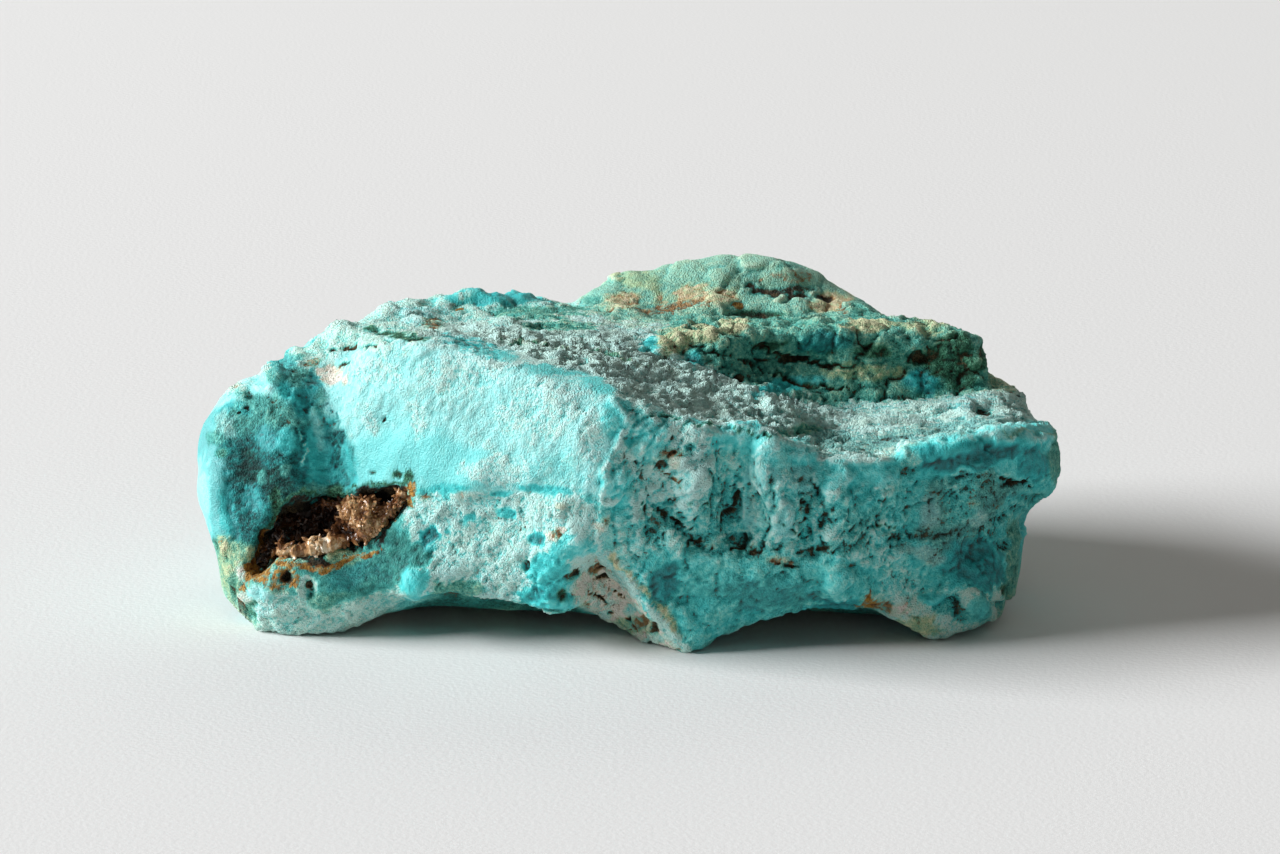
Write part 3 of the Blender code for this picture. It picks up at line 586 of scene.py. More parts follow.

# %% Single marks: finish or none, across, down, half width, half height, turn, height in mm
# Black marks are dark rock with painted shade inside pits, slots, holes and cracks.
MARKS = [
    # the left end
    ("sky", 216, 402, 22, 6, 15, 0), ("blue", 222, 413, 15, 5, 48, -0.1), ("frost", 226, 424, 12, 11, 0, 0),
    ("peppered", 241, 409, 9, 5, -20, -0.12), ("black_rock_and_hole_shade", 246, 407, 2.5, 2, 0, -0.15),
    ("black_rock_and_hole_shade", 237, 412, 2, 2.4, 0, -0.15), ("granular", 240, 425, 6, 8, 20, -0.05),
    ("granular", 213, 438, 10, 6, -10, 0.03), ("shady", 250, 468, 11, 14, 0, -0.08),
    ("shady", 274, 482, 15, 14, -10, -0.05), ("granular", 262, 478, 5, 6, 0, 0.06),
    ("granular", 286, 470, 5, 5, 0, 0.06), ("moss", 222, 453, 5, 4, 0, -0.1),
    ("blue", 254, 500, 10, 13, 0, 0), ("olive", 275, 500, 4, 12, 0, -0.12),
    ("vivid", 326, 462, 7, 24, 8, -0.04), ("blue", 268, 440, 10, 12, 30, 0),
    ("clear", 318, 455, 13, 38, 5, -0.05), ("clear", 288, 440, 12, 10, -30, 0.1),
    ("deep", 303, 464, 5, 12, 0, -0.05), ("aqua", 318, 430, 5, 20, 15, 0.06),
    ("blue", 314, 384, 8, 14, 0, -0.05), ("teal", 284, 366, 9, 9, 0, 0.15),
    ("clear", 286, 392, 8, 11, 10, 0.08), ("sky", 260, 386, 14, 8, -30, 0.05),
    ("blue", 302, 404, 8, 16, 0, -0.1), ("granular", 262, 412, 8, 8, 0, 0.05),
    ("sky", 203, 500, 8, 34, 0, 0), ("clear", 226, 512, 7, 26, 8, 0), ("sage", 232, 560, 12, 16, 0, 0.1),
    ("lichen", 222, 545, 6, 9, 0, 0.03), ("pinkish", 245, 595, 7, 8, 0, 0.05),
    ("rust", 221, 541, 5, 2, 30, 0), ("rust", 244, 588, 6, 2, 20, 0), ("pinkish", 240, 572, 5, 8, 20, 0),
    ("sky", 262, 586, 11, 14, 0, 0.05), ("sage", 250, 553, 8, 10, 0, 0.1),
    # round the pocket
    ("granular", 317, 490, 14, 6, 0, 0), ("olive", 340, 492, 12, 7, 0, 0.1),
    ("rust", 338, 500, 8, 4, 10, 0), ("olive", 354, 474, 3, 2, 0, -0.1), ("olive", 373, 472, 4, 2, 0, -0.1),
    ("olive", 398, 475, 4, 3, 0, -0.1), ("olive", 408, 478, 4, 7, 0, 0), ("rust", 409, 491, 5, 5, 0, -0.1),
    ("rust", 277, 548, 11, 8, 0, 0), ("rust", 282, 566, 10, 9, 0, 0), ("tan", 296, 562, 10, 6, -20, 0),
    ("rust", 281, 560, 9, 8, 20, 0), ("rust", 254, 574, 12, 5, -55, 0),
    ("rust", 285, 578, 13, 13, 0, -0.08), ("black_rock_and_hole_shade", 285, 578, 5.5, 6.5, 0, -0.55),
    ("tan", 285, 594, 6, 6, 0, 0), ("chalk", 270, 568, 4, 6, 0, 0), ("black_rock_and_hole_shade", 268, 537, 8, 7, 0, -0.2),
    ("smoky", 309, 590, 7, 12, 0, -0.15), ("brown", 309, 590, 3.5, 8, 5, -0.25),
    ("mint", 298, 603, 18, 10, 0, 0), ("moss", 322, 602, 10, 8, 0, 0), ("moss", 338, 590, 12, 8, 0, 0),
    ("jade", 380, 560, 22, 18, 0, 0), ("teal", 350, 575, 20, 12, 20, 0), ("sage", 345, 558, 14, 8, 0, 0),
    ("chalk", 268, 610, 14, 8, 0, 0.1), ("mint", 285, 612, 14, 8, 0, 0.1),
    ("clear", 415, 583, 12, 15, 0, 0.35), ("jade", 418, 555, 10, 12, 0, 0),
    # the waxy face
    ("pale", 370, 420, 6, 12, 15, 0.03), ("pale", 417, 422, 8, 14, 15, 0.03),
    ("pale", 370, 370, 30, 12, -10, 0.05), ("pale", 460, 372, 40, 16, 5, 0.05),
    ("pale", 540, 410, 40, 25, 20, 0.05), ("clear", 347, 466, 9, 24, 8, -0.05),
    ("pale", 590, 440, 10, 30, 0, 0), ("vivid", 616, 412, 12, 20, -10, 0.1),
    ("pale", 500, 470, 30, 14, 0, 0), ("aqua", 560, 470, 20, 16, 0, 0),
    ("black_rock_and_hole_shade", 385, 419, 1.6, 5, -45, -0.06), ("tan", 425, 497, 5, 3, 0, -0.05),
    # the chalk belt and its blue pools
    ("clear", 448, 488, 24, 4, 4, 0), ("clear", 548, 490, 26, 4, -5, 0), ("clear", 500, 494, 12, 3, 0, 0),
    ("blue", 432, 537, 9, 10, 0, -0.06), ("clear", 447, 535, 4, 6, 0, -0.05),
    ("blue", 471, 525, 9, 9, 10, -0.06), ("clear", 463, 547, 9, 5, 0, -0.04),
    ("blue", 536, 540, 9, 6, 0, -0.04), ("clear", 505, 512, 12, 5, -10, 0),
    ("chalk", 434, 510, 13, 9, 0, 0.12), ("chalk", 412, 522, 7, 8, 0, 0.1),
    ("chalk", 470, 540, 24, 18, 0, 0.1), ("chalk", 500, 575, 22, 16, 0, 0.1),
    ("chalk", 560, 508, 16, 10, 0, 0.1), ("cream", 552, 536, 6, 4, -20, 0.1),
    ("cream", 560, 530, 4, 3, 0, 0.08), ("tan", 556, 534, 4, 4, 0, -0.06),
    ("cream", 598, 526, 6, 3, -20, 0.03), ("tan", 606, 520, 3, 3, 0, -0.05),
    ("cream", 562, 506, 4, 3, 0, 0.1), ("chalk", 573, 514, 5, 4, 0, 0.1),
    ("brown", 526, 566, 3.5, 6, 0, -0.3), ("chalk", 520, 550, 10, 12, 0, 0.1),
    ("moss", 460, 588, 22, 8, 0, 0), ("vivid", 580, 550, 15, 12, -20, 0.2),
    ("clear", 552, 568, 22, 20, 0, 0.15), ("blue", 548, 596, 24, 9, -5, 0.05),
    ("clear", 556, 604, 22, 4, 0, 0.1), ("olive", 562, 595, 5, 5, 0, -0.1),
    ("chalk", 500, 535, 14, 8, 20, 0.1), ("chalk", 486, 512, 10, 5, 0, 0.1),
    # the recess and its ridge
    ("smoky", 586, 564, 12, 9, 0, 0), ("brown", 574, 574, 6, 3, 30, -0.2),
    ("black_rock_and_hole_shade", 602, 578, 6, 3, 25, -0.2), ("pinkish", 600, 592, 18, 10, 30, 0),
    ("cream", 620, 604, 20, 10, 35, 0.1), ("sage", 615, 632, 34, 10, 20, 0),
    ("brown", 654, 629, 4, 7, 0, -0.2), ("tan", 640, 622, 10, 6, 30, -0.1), ("tan", 585, 606, 6, 3, 20, 0),
    ("chalk", 600, 615, 14, 6, 20, 0), ("mint", 631, 610, 8, 6, 30, 0.06), ("mint", 652, 641, 14, 5, 10, 0),
    ("pinkish", 603, 603, 11, 6, 20, 0.08), ("brown", 628, 620, 3, 2, 20, -0.12),
    ("brown", 610, 612, 2.5, 2, 0, -0.12), ("tan", 594, 570, 5, 3, 20, -0.05),
    # the right face
    ("tan", 668, 460, 14, 9, 0, 0.05), ("cream", 676, 464, 9, 5, 0, 0.1),
    ("peppered", 662, 466, 7, 5, 0, -0.15), ("peppered", 672, 518, 13, 8, 20, -0.14),
    ("peppered", 666, 506, 7, 6, 0, -0.14), ("black_rock_and_hole_shade", 672, 520, 4, 2.5, 20, -0.1),
    ("peppered", 697, 543, 12, 8, 0, -0.14), ("black_rock_and_hole_shade", 698, 543, 4, 4, 0, -0.1),
    ("peppered", 733, 508, 10, 17, 10, -0.14), ("black_rock_and_hole_shade", 731, 513, 3, 4, 0, -0.1),
    ("peppered", 741, 538, 14, 5, 5, -0.14), ("peppered", 756, 552, 18, 6, 5, -0.14),
    ("brown", 752, 551, 3, 2, 0, -0.1), ("peppered", 716, 552, 10, 6, 0, -0.15),
    ("cream", 804, 508, 3, 9, 0, 0), ("peppered", 807, 508, 5, 13, 0, -0.14),
    ("peppered", 823, 549, 18, 7, 12, -0.14), ("brown", 822, 549, 8, 2, 14, -0.15),
    ("peppered", 856, 530, 14, 14, 0, -0.14), ("peppered", 850, 545, 8, 5, 0, -0.15),
    ("tan", 784, 562, 13, 4, -8, -0.1), ("brown", 790, 566, 10, 1.6, -8, -0.1),
    ("peppered", 655, 528, 8, 14, 0, -0.15), ("peppered", 687, 480, 6, 10, -20, -0.12),
    ("peppered", 770, 500, 6, 12, 0, -0.12), ("peppered", 835, 512, 12, 8, 0, -0.15),
    ("peppered", 872, 512, 12, 10, 0, -0.15), ("peppered", 905, 535, 9, 9, 0, -0.14),
    ("peppered", 782, 578, 10, 5, 0, -0.08), ("peppered", 742, 574, 8, 5, 0, -0.08),
    ("peppered", 690, 446, 6, 4, 30, -0.15), ("vivid", 735, 437, 22, 8, 20, 0.05),
    ("vivid", 802, 450, 14, 10, 0, 0.2), ("vivid", 646, 432, 17, 22, 0, 0.1),
    ("speckled", 720, 505, 24, 22, 0, -0.03), ("vivid", 622, 490, 14, 22, 10, 0.1),
    ("pale", 690, 482, 14, 18, 20, 0.03), ("aqua", 760, 478, 14, 14, 0, 0.1),
    ("aqua", 780, 512, 12, 18, 0, 0.12), ("aqua", 752, 515, 10, 14, 0, 0.12),
    ("teal", 760, 595, 50, 14, -5, 0), (None, 838, 580, 12, 18, 0, 0.2), ("aqua", 805, 478, 12, 12, 0, 0.1),
    ("deep", 660, 592, 12, 24, -32, 0), ("lagoon", 690, 610, 24, 16, 0, 0),
    ("lagoon", 860, 500, 20, 12, 0, 0), ("deep", 850, 608, 30, 8, 0, 0),
    # the right end
    ("deep", 965, 458, 55, 11, 6, 0), ("blue", 1034, 468, 14, 13, 0, 0.1), ("moss", 1057, 455, 7, 22, 0, 0),
    ("frost", 978, 518, 15, 8, -30, 0.05), ("peppered", 962, 492, 16, 12, -20, -0.15),
    ("peppered", 950, 500, 8, 9, 0, -0.15), ("peppered", 962, 512, 16, 8, 30, -0.15),
    ("tan", 975, 504, 6, 3, 0, 0), ("black_rock_and_hole_shade", 1018, 484, 14, 2, 12, -0.3),
    ("peppered", 985, 535, 12, 6, 30, -0.15), ("deep", 975, 565, 26, 22, 0, 0),
    ("olive", 1006, 590, 6, 5, 0, -0.1), ("moss", 1013, 555, 7, 30, 0, 0),
    ("peppered", 1005, 545, 6, 6, 0, -0.14), ("lagoon", 905, 510, 20, 20, 0, 0),
    ("frost", 930, 515, 10, 16, 0, 0.08), ("peppered", 908, 468, 9, 9, 0, -0.12),
    ("peppered", 896, 540, 9, 8, 0, -0.15), ("peppered", 912, 552, 7, 6, 0, -0.12),
    ("frost", 925, 555, 18, 7, -10, 0.05),
    # the right foot
    ("rust", 870, 602, 11, 9, 30, 0), ("cream", 900, 610, 12, 6, 0, 0.1), ("tan", 884, 608, 8, 5, 0, -0.1),
    ("teal", 976, 608, 13, 12, 0, 0.25), ("peppered", 950, 604, 12, 9, 20, -0.14),
    ("peppered", 962, 616, 8, 9, 0, -0.14), ("sage", 915, 626, 20, 10, 0, 0),
    ("clear", 930, 598, 12, 5, 0, 0.1),
    # the bedded top
    ("frost", 925, 434, 84, 10, 9, 0), ("frost", 840, 440, 36, 9, -8, 0),
    ("dusk", 1000, 402, 44, 10, -5, 0), ("peppered", 576, 356, 13, 5, 0, -0.08),
    ("smoky", 640, 380, 22, 5, 5, -0.12), ("dusk", 640, 392, 26, 5, 8, -0.08),
    ("clear", 654, 345, 14, 7, 0, 0.25), ("lichen", 674, 342, 15, 12, 0, 0.2),
    ("blue", 695, 356, 8, 8, 0, 0.1), ("smoky", 560, 352, 60, 8, 6, 0), ("vivid", 478, 347, 32, 7, -16, 0),
    ("dusk", 740, 404, 30, 6, 12, -0.08), ("moss", 800, 430, 20, 4, 12, -0.1),
    ("dusk", 900, 408, 60, 10, 0, 0), ("pale", 965, 408, 9, 10, 0, 0.2),
    ("black_rock_and_hole_shade", 982, 411, 7, 4, 0, -0.25), ("smoky", 700, 396, 30, 8, 10, 0),
    # the ledge
    ("slate", 824, 342, 22, 9, 0, 0.15), ("black_rock_and_hole_shade", 795, 359, 12, 3, 8, -0.3),
    ("olive", 838, 366, 14, 3, 5, -0.2), ("olive", 770, 346, 14, 3, 8, -0.15),
    ("lichen", 735, 328, 16, 4, 0, 0.1), ("moss", 770, 330, 16, 5, 0, 0.05),
    ("lichen", 868, 327, 22, 4, 0, 0.1), ("sage", 925, 328, 20, 5, 0, 0.05),
    ("olive", 920, 358, 11, 6, 0, -0.3), ("black_rock_and_hole_shade", 740, 376, 5, 4, 0, -0.2),
    ("blue", 922, 381, 17, 9, 0, 0.1), ("olive", 955, 362, 24, 20, 0, -0.05),
    ("lichen", 700, 335, 14, 8, 0, 0.1), ("sage", 860, 372, 34, 8, 0, 0.1),
    ("olive", 872, 352, 16, 6, 0, -0.15), ("clear", 785, 385, 30, 6, 8, 0),
    # the hump
    ("buff", 622, 300, 17, 9, 0, 0.1), ("buff", 696, 296, 30, 12, 0, 0.1), ("tan", 690, 307, 20, 4, 0, 0),
    ("rust", 737, 306, 5, 3, 0, -0.05), ("tan", 784, 277, 22, 8, 0, 0.15),
    ("brown", 785, 290, 26, 4, 4, -0.12), ("buff", 836, 300, 22, 9, 10, 0), ("tan", 850, 308, 12, 6, 20, 0),
    ("moss", 868, 306, 16, 12, 0, 0), ("moss", 592, 300, 8, 4, 0, -0.05),
    ("celadon", 700, 264, 50, 10, -8, 0), ("sage", 640, 278, 26, 9, -10, 0), ("tan", 660, 312, 24, 4, 0, 0),
    ("moss", 800, 258, 26, 6, 20, 0), ("olive", 760, 314, 26, 4, 0, -0.15),
    # the left crest
    ("clear", 500, 297, 46, 5, 0, 0.1), ("mint", 360, 338, 40, 8, -18, 0.1),
    ("pinkish", 330, 372, 13, 9, -20, -0.2), ("cream", 336, 378, 7, 5, 0, 0),
    ("brown", 344, 364, 6, 2, 15, -0.15), ("tan", 314, 362, 8, 3, 10, 0),
    ("pale", 418, 315, 20, 8, -6, 0.15), ("tan", 432, 324, 8, 5, 0, 0), ("rust", 461, 308, 4, 3, 0, 0),
    ("moss", 540, 312, 40, 6, 0, 0), ("olive", 400, 335, 30, 3, -10, -0.1),
    ("moss", 560, 326, 30, 4, 0, -0.05),
    # corners and notches without a finish of their own
    (None, 1002, 374, 13, 9, 0, -0.5), (None, 976, 348, 7, 22, 0, 0.35), (None, 256, 626, 12, 9, 0, 0.4),
    (None, 735, 436, 16, 10, 0, 0.25), (None, 765, 446, 14, 10, 0, 0.2),
    (None, 1030, 500, 12, 5, -10, -0.3), (None, 996, 604, 7, 4, 0, -0.3), (None, 272, 374, 10, 10, 0, 0.4),
    (None, 296, 356, 10, 9, 0, 0.35), (None, 345, 331, 12, 7, 0, 0.3), (None, 388, 311, 10, 7, 0, 0.3),
    (None, 470, 294, 16, 6, 0, 0.3), (None, 522, 295, 12, 6, 0, 0.2), (None, 430, 301, 8, 5, 0, -0.25),
    (None, 250, 392, 5, 6, 0, -0.3), (None, 322, 343, 7, 6, 0, -0.25), (None, 216, 545, 5, 8, 0, -0.2),
]
print("marks:", len(MARKS))

# %% Lines: finish or none, half width, height in mm, points across and down
LINES = [
    ("chalk", 6.0, 0.2, [(600, 552), (622, 574), (650, 604), (668, 628), (692, 650)]),
    ("lichen", 3.0, 0.0, [(612, 556), (636, 580), (662, 608), (684, 636)]),
    ("peppered", 3.0, -0.22, [(740, 478), (736, 500), (741, 525)]),
    ("peppered", 3.0, -0.18, [(1040, 500), (1005, 515), (985, 532)]),
    ("peppered", 3.0, -0.15, [(950, 480), (968, 474), (985, 484), (1003, 480)]),
    # The black line is painted shade inside the crack at the right end, over dark rock.
    ("black_rock_and_hole_shade", 1.2, -0.25, [(1003, 478), (1018, 482), (1036, 490)]),
    ("brown", 3.0, -0.14, [(748, 285), (775, 292), (805, 293), (830, 299)]),
    ("olive", 1.4, -0.25, [(760, 350), (790, 358), (820, 364), (852, 368)]),
    ("olive", 1.6, -0.2, [(690, 345), (720, 352), (760, 366), (800, 384), (850, 388)]),
    ("olive", 0.9, -0.12, [(650, 414), (700, 425), (740, 431), (770, 437)]),
    ("smoky", 1.6, -0.12, [(630, 378), (680, 384), (760, 412), (830, 450)]),
    ("smoky", 1.6, -0.12, [(640, 362), (720, 390), (800, 420), (880, 432)]),
    ("olive", 1.2, -0.10, [(500, 338), (560, 346), (600, 352), (650, 368)]),
    ("brown", 1.2, -0.15, [(330, 352), (370, 345), (400, 338)]),
    ("blue", 2.4, -0.08, [(224, 470), (228, 505), (236, 540)]),
    ("teal", 1.2, -0.06, [(330, 400), (336, 430), (342, 470), (350, 495)]),
    ("chalk", 1.4, 0.05, [(300, 430), (306, 450), (302, 466)]),
    ("peppered", 2.2, -0.2, [(770, 476), (776, 496), (771, 530), (760, 545)]),
    ("peppered", 2.2, -0.2, [(655, 505), (668, 522), (690, 536), (705, 548)]),
    ("peppered", 2.2, -0.2, [(708, 470), (716, 492), (712, 520)]),
    ("peppered", 2.2, -0.18, [(812, 478), (822, 500), (820, 530)]),
    ("peppered", 2.2, -0.18, [(880, 500), (905, 512), (930, 500)]),
    ("brown", 0.9, -0.15, [(660, 512), (672, 522), (684, 527), (694, 530)]),
    ("brown", 0.9, -0.15, [(724, 522), (732, 512), (734, 498), (741, 490)]),
    ("tan", 0.9, -0.12, [(700, 540), (716, 548), (735, 548), (752, 546)]),
    ("brown", 0.8, -0.15, [(803, 500), (808, 512), (806, 524)]),
    ("brown", 0.8, -0.12, [(816, 544), (828, 549), (842, 556)]),
    ("brown", 0.8, -0.14, [(840, 536), (852, 528), (864, 520)]),
    ("tan", 0.9, -0.1, [(655, 470), (672, 478), (684, 492)]),
    ("brown", 0.7, -0.12, [(752, 552), (764, 552), (776, 548)]),
    ("brown", 0.9, -0.16, [(597, 583), (608, 587), (622, 593), (630, 601)]),
    ("brown", 0.7, -0.12, [(588, 592), (600, 599), (612, 603), (620, 612)]),
    ("tan", 0.7, -0.1, [(606, 622), (622, 628), (640, 634)]),
    ("olive", 0.7, -0.12, [(640, 500), (652, 512), (664, 508)]),
    ("olive", 0.7, -0.1, [(780, 520), (790, 532), (800, 536)]),
    ("olive", 0.7, -0.1, [(870, 530), (884, 524), (900, 528)]),
    ("olive", 0.7, -0.1, [(690, 500), (704, 508), (714, 502)]),
    ("moss", 1.6, 0.0, [(1000, 440), (1030, 436), (1060, 446)]),
    (None, 4.0, 0.16, [(645, 407), (700, 426), (760, 429), (790, 443), (830, 461), (880, 461), (950, 451),
        (1000, 438), (1058, 446)]),
    (None, 13.0, 0.34, [(694, 440), (690, 490), (672, 540)]),
    (None, 12.0, 0.30, [(766, 455), (776, 500), (780, 548)]),
    (None, 12.0, 0.28, [(838, 482), (844, 530), (838, 585)]),
    (None, 8.0, -0.26, [(726, 446), (722, 500), (738, 540)]),
    (None, 8.0, -0.24, [(808, 472), (808, 520), (816, 552)]),
    (None, 9.0, -0.24, [(634, 440), (640, 490), (652, 530)]),
    (None, 8.0, 0.42, [(905, 456), (940, 448), (1000, 437), (1040, 436)]),
    ("rust", 3.0, 0.0, [(250, 572), (256, 556), (264, 538), (276, 520)]),
    ("rust", 4.5, 0.0, [(247, 584), (251, 570), (262, 576), (272, 566)]),
    ("rust", 4.0, 0.0, [(272, 566), (290, 563), (325, 572), (346, 560), (386, 550)]),
    ("rust", 3.5, 0.0, [(394, 518), (412, 502), (411, 486)]),
    ("olive", 2.0, 0.0, [(266, 530), (282, 500), (300, 491), (334, 498), (362, 484), (408, 483)]),
    (None, 4.0, 0.16, [(614, 400), (627, 425), (606, 470), (601, 540)]),
    (None, 4.0, 0.18, [(684, 326), (760, 322), (890, 322), (955, 326), (974, 345), (982, 380)]),
    (None, 3.0, -0.18, [(690, 358), (740, 376), (800, 399), (850, 401), (900, 396), (984, 386)]),
]
print("lines:", len(LINES))

# %% [markdown]
# ## Painting the map on the skin
# The sides that the camera doesn't see get the same grains and finishes from slow noise and from
# which way the skin faces: foliated on top, chalky or knotted underneath, waxy or lumpy all
# round. The outlines, marks and lines are then laid over the points in sight. Noise shifts every
# border, because the finishes of a real stone run into each other chip by chip.

# %% Distance from points to an outline or a line in the view
def distance_to_line(across, down, corners):
    """Distance in view units to the nearest stretch of a line."""
    nearest = np.full(len(across), 1e9)
    for (x0, y0), (x1, y1) in zip(corners[:-1], corners[1:]):
        dx, dy = x1 - x0, y1 - y0
        t = np.clip(((across - x0) * dx + (down - y0) * dy) / (dx * dx + dy * dy), 0, 1)
        gap = np.hypot(across - x0 - t * dx, down - y0 - t * dy)
        nearest = np.minimum(nearest, gap)
    return nearest


def inside_outline(across, down, corners):
    """True for points inside a closed outline."""
    inside = np.zeros(len(across), dtype=bool)
    for (x0, y0), (x1, y1) in zip(corners, corners[1:] + corners[:1]):
        if y0 == y1:
            continue
        crossing = (y0 > down) != (y1 > down)
        inside ^= crossing & (across < x0 + (down - y0) * (x1 - x0) / (y1 - y0))
    return inside


def oval_distance(across, down, x, y, half_wide, half_high, turn):
    """Distance from a turned oval's middle, 1 at its rim."""
    angle = math.radians(turn)
    dx, dy = across - x, down - y
    along = (dx * math.cos(angle) - dy * math.sin(angle)) / half_wide
    away = (dx * math.sin(angle) + dy * math.cos(angle)) / half_high
    return np.hypot(along, away)


# %% Start every point with the grain and finish of the unseen sides
DRIFT_SIZE = 9.0
drift = [layered_noise(body_mm / DRIFT_SIZE, seed, octaves=5, fade=0.45) for seed in (201, 202, 203)]
up = eased(facing[:, 2], 0.25, 0.75)
under = eased(-facing[:, 2], 0.2, 0.8)
sides = 1 - up - under

grain_names = list(GRAINS)
grain_share = np.zeros((len(body), len(grain_names)))


def grain_column(name):
    return grain_names.index(name)


waxy_side = eased(drift[0], -0.15, 0.25)
grain_share[:, grain_column("foliated")] = up * 0.8
grain_share[:, grain_column("knotted")] = up * 0.2 + under * 0.5
grain_share[:, grain_column("chalky")] = under * 0.5
grain_share[:, grain_column("waxy")] = sides * waxy_side
grain_share[:, grain_column("lumpy")] = sides * (1 - waxy_side)


def finish_of(name):
    return np.array(FINISHES[name])


PATCH_SHARE = 0.8
side_paint = waxy_side[:, None] * finish_of("aqua") + (1 - waxy_side[:, None]) * finish_of("teal")
# The underside is painted dark green: painted shade under the stone.
paint = up[:, None] * finish_of("smoky") + under[:, None] * finish_of("underside_painted_shade")
paint = paint + sides[:, None] * side_paint


def lay(finish, cover):
    """Covers the paint with a named finish, by a share from 0 to 1 for each point."""
    paint[:] += cover[:, None] * (finish_of(finish) - paint)


PATCHES = (("sage", drift[1], 0.10), ("clear", drift[2], 0.16), ("cream", -drift[1], 0.34))
for finish, noise, low in PATCHES:
    lay(finish, PATCH_SHARE * eased(noise, low, low + 0.25))
rear_paint = paint.copy()
rear_grain = grain_share.copy()
print("waxy share of the unseen sides:", waxy_side.mean().round(2))

# %% Paint the zones that the camera sees
SOFT_SIZE = 1.1
FINE_SIZE = 0.45
CHIP_SIZE = 0.55
wobble_soft = soft_noise(body_mm / SOFT_SIZE, 301)
wobble_fine = soft_noise(body_mm / FINE_SIZE, 302)
chip_wobble = cells(warped(body_mm / CHIP_SIZE, 304), 303)[2][:, 0] - 0.5


def ragged(soft, fine, chip):
    """A shift for borders, of so much soft noise, fine noise and whole chips."""
    return soft * wobble_soft + fine * wobble_fine + chip * chip_wobble


zone_shift = ragged(0.9, 0.3, 0.9)
for grain_name, finish, border, corners in ZONES.values():
    gap = distance_to_line(across, down, corners + corners[:1])
    signed = np.where(inside_outline(across, down, corners), gap, -gap) + border * zone_shift
    cover = eased(signed, -0.7 * border, 0.7 * border)
    lay(finish, cover)
    grain_share *= 1 - cover[:, None]
    grain_share[:, grain_column(grain_name)] += cover
print("shares of the grains:", dict(zip(grain_names, grain_share.mean(axis=0).round(2))))

# %% Paint and carve the marks and the lines
# How far out paint and carving reach, where 1 is an oval's rim or a line's half width. They start
# from nothing there and are full a little further in.
MARK_PAINTED, MARK_CARVED = 1.45, 1.4
LINE_PAINTED, LINE_CARVED = 1.5, 1.9
carved = np.zeros(len(body))
mark_shift = ragged(0.45, 0.2, 0.5)
for finish, *oval, height in MARKS:
    reach = oval_distance(across, down, *oval)
    if finish:
        lay(finish, eased(MARK_PAINTED - reach - mark_shift, 0.0, 0.6))
    carved += height * eased(MARK_CARVED - reach - 0.225 * wobble_soft, 0.0, 0.9)

bent_across = across + 5 * wobble_soft
bent_down = down + 4 * wobble_fine
thinning = 0.8 * eased(wobble_soft, 0.0, 0.5)
for finish, half_wide, height, corners in LINES:
    gap = distance_to_line(bent_across, bent_down, corners) / half_wide + thinning
    if finish:
        lay(finish, eased(LINE_PAINTED - gap, 0.0, 0.9))
    carved += height * eased(LINE_CARVED - gap, 0.0, 1.2)
print("marks carve from", carved.min().round(2), "to", carved.max().round(2), "mm")

# %% Join what is seen with the unseen sides
paint = spread_over_edges(paint)
paint = rear_paint + in_view[:, None] * (paint - rear_paint)
grain_share = spread_over_edges(grain_share)
grain_share = rear_grain + in_view[:, None] * (grain_share - rear_grain)
carved *= seen

# The far side, from 3 to 7 mm behind the aim, is worn: its grain is softer and it has some gloss.
WORN_GLOSS = 0.62
worn = eased(depth / MM - CAMERA_REACH / MM, 3, 7)
gloss_slider = SLIDERS.index("gloss")
paint[:, gloss_slider] = np.maximum(paint[:, gloss_slider], WORN_GLOSS * worn)
print("worn share:", worn.mean().round(3))
print("mean of each slider:", dict(zip(SLIDERS, paint.mean(axis=0).round(2))))

# %% [markdown]
# ## Carving the grain
# Each layer of each grain is worked out only where that grain has a share, and the points move
# along their normals. Every chip also keeps a number of its own, so that neighbouring chips can
# differ a little in paleness, as flakes of real chalky turquoise do.

# %% Move the skin
# The first layer of a grain counts most in paleness and in how dark its creases are drawn, and each layer
# has its own seed.
# Wear takes most of the layers whose chips are under 1.5 mm.
FLECK_SHARES = (0.6, 0.4)
CREASE_DARKENING_SHARES = (0.7, 0.45)
WEARS_OFF = 1.5
WORN_AWAY = 0.75
DEEPEST, HIGHEST = -0.75, 0.6
lift = np.zeros(len(body))
fleck = np.zeros(len(body))
crease_darkening = np.zeros(len(body))
for number, name in enumerate(grain_names):
    weight = grain_share[:, number]
    here = np.nonzero(weight > 0.02)[0]
    for layer, (pattern, size, height, direction) in enumerate(GRAINS[name]):
        places = drawn_out(body_mm[here], size, direction)
        seed = 11 + 7 * layer + 3 * len(pattern) + int(size * 10)
        move, own, crease = PATTERNS[pattern](places, seed)
        fade = 1 - WORN_AWAY * worn[here] if size < WEARS_OFF else 1.0
        lift[here] += weight[here] * height * fade * move
        crease_darkening[here] += weight[here] * crease**2 * CREASE_DARKENING_SHARES[min(layer, 1)]
        if pattern != "grain":
            fleck[here] += weight[here] * own * FLECK_SHARES[min(layer, 1)]

lift = np.clip(lift + carved, DEEPEST, HIGHEST)
moved = body + facing * lift[:, None] * MM
print("skin moved by", lift.min().round(2), "to", lift.max().round(2), "mm")

# %% Let the belly sag
# The belly behind the front arches hangs close to the table, which keeps the light out there. It
# sags between 11 mm in front of the middle and as far behind it, and only low down.
BELLY_FROM = -11.0
BELLY_SAG = 0.6
sag = eased(-facing[:, 2], 0.2, 0.6) * eased(body_mm[:, 1], BELLY_FROM, BELLY_FROM + 2.5) * (1 - seen)
sag *= (1 - eased(body_mm[:, 1], -BELLY_FROM - 3.0, -BELLY_FROM)) * (1 - eased(body_mm[:, 2], 3.2, 4.2))
moved[:, 2] *= 1 - BELLY_SAG * sag
moved[:, 2] = np.maximum(moved[:, 2], 0.0)
set_points(stone, moved)
print("belly sags by up to", round(float(sag.max()) * BELLY_SAG, 2), "of its height over the table")

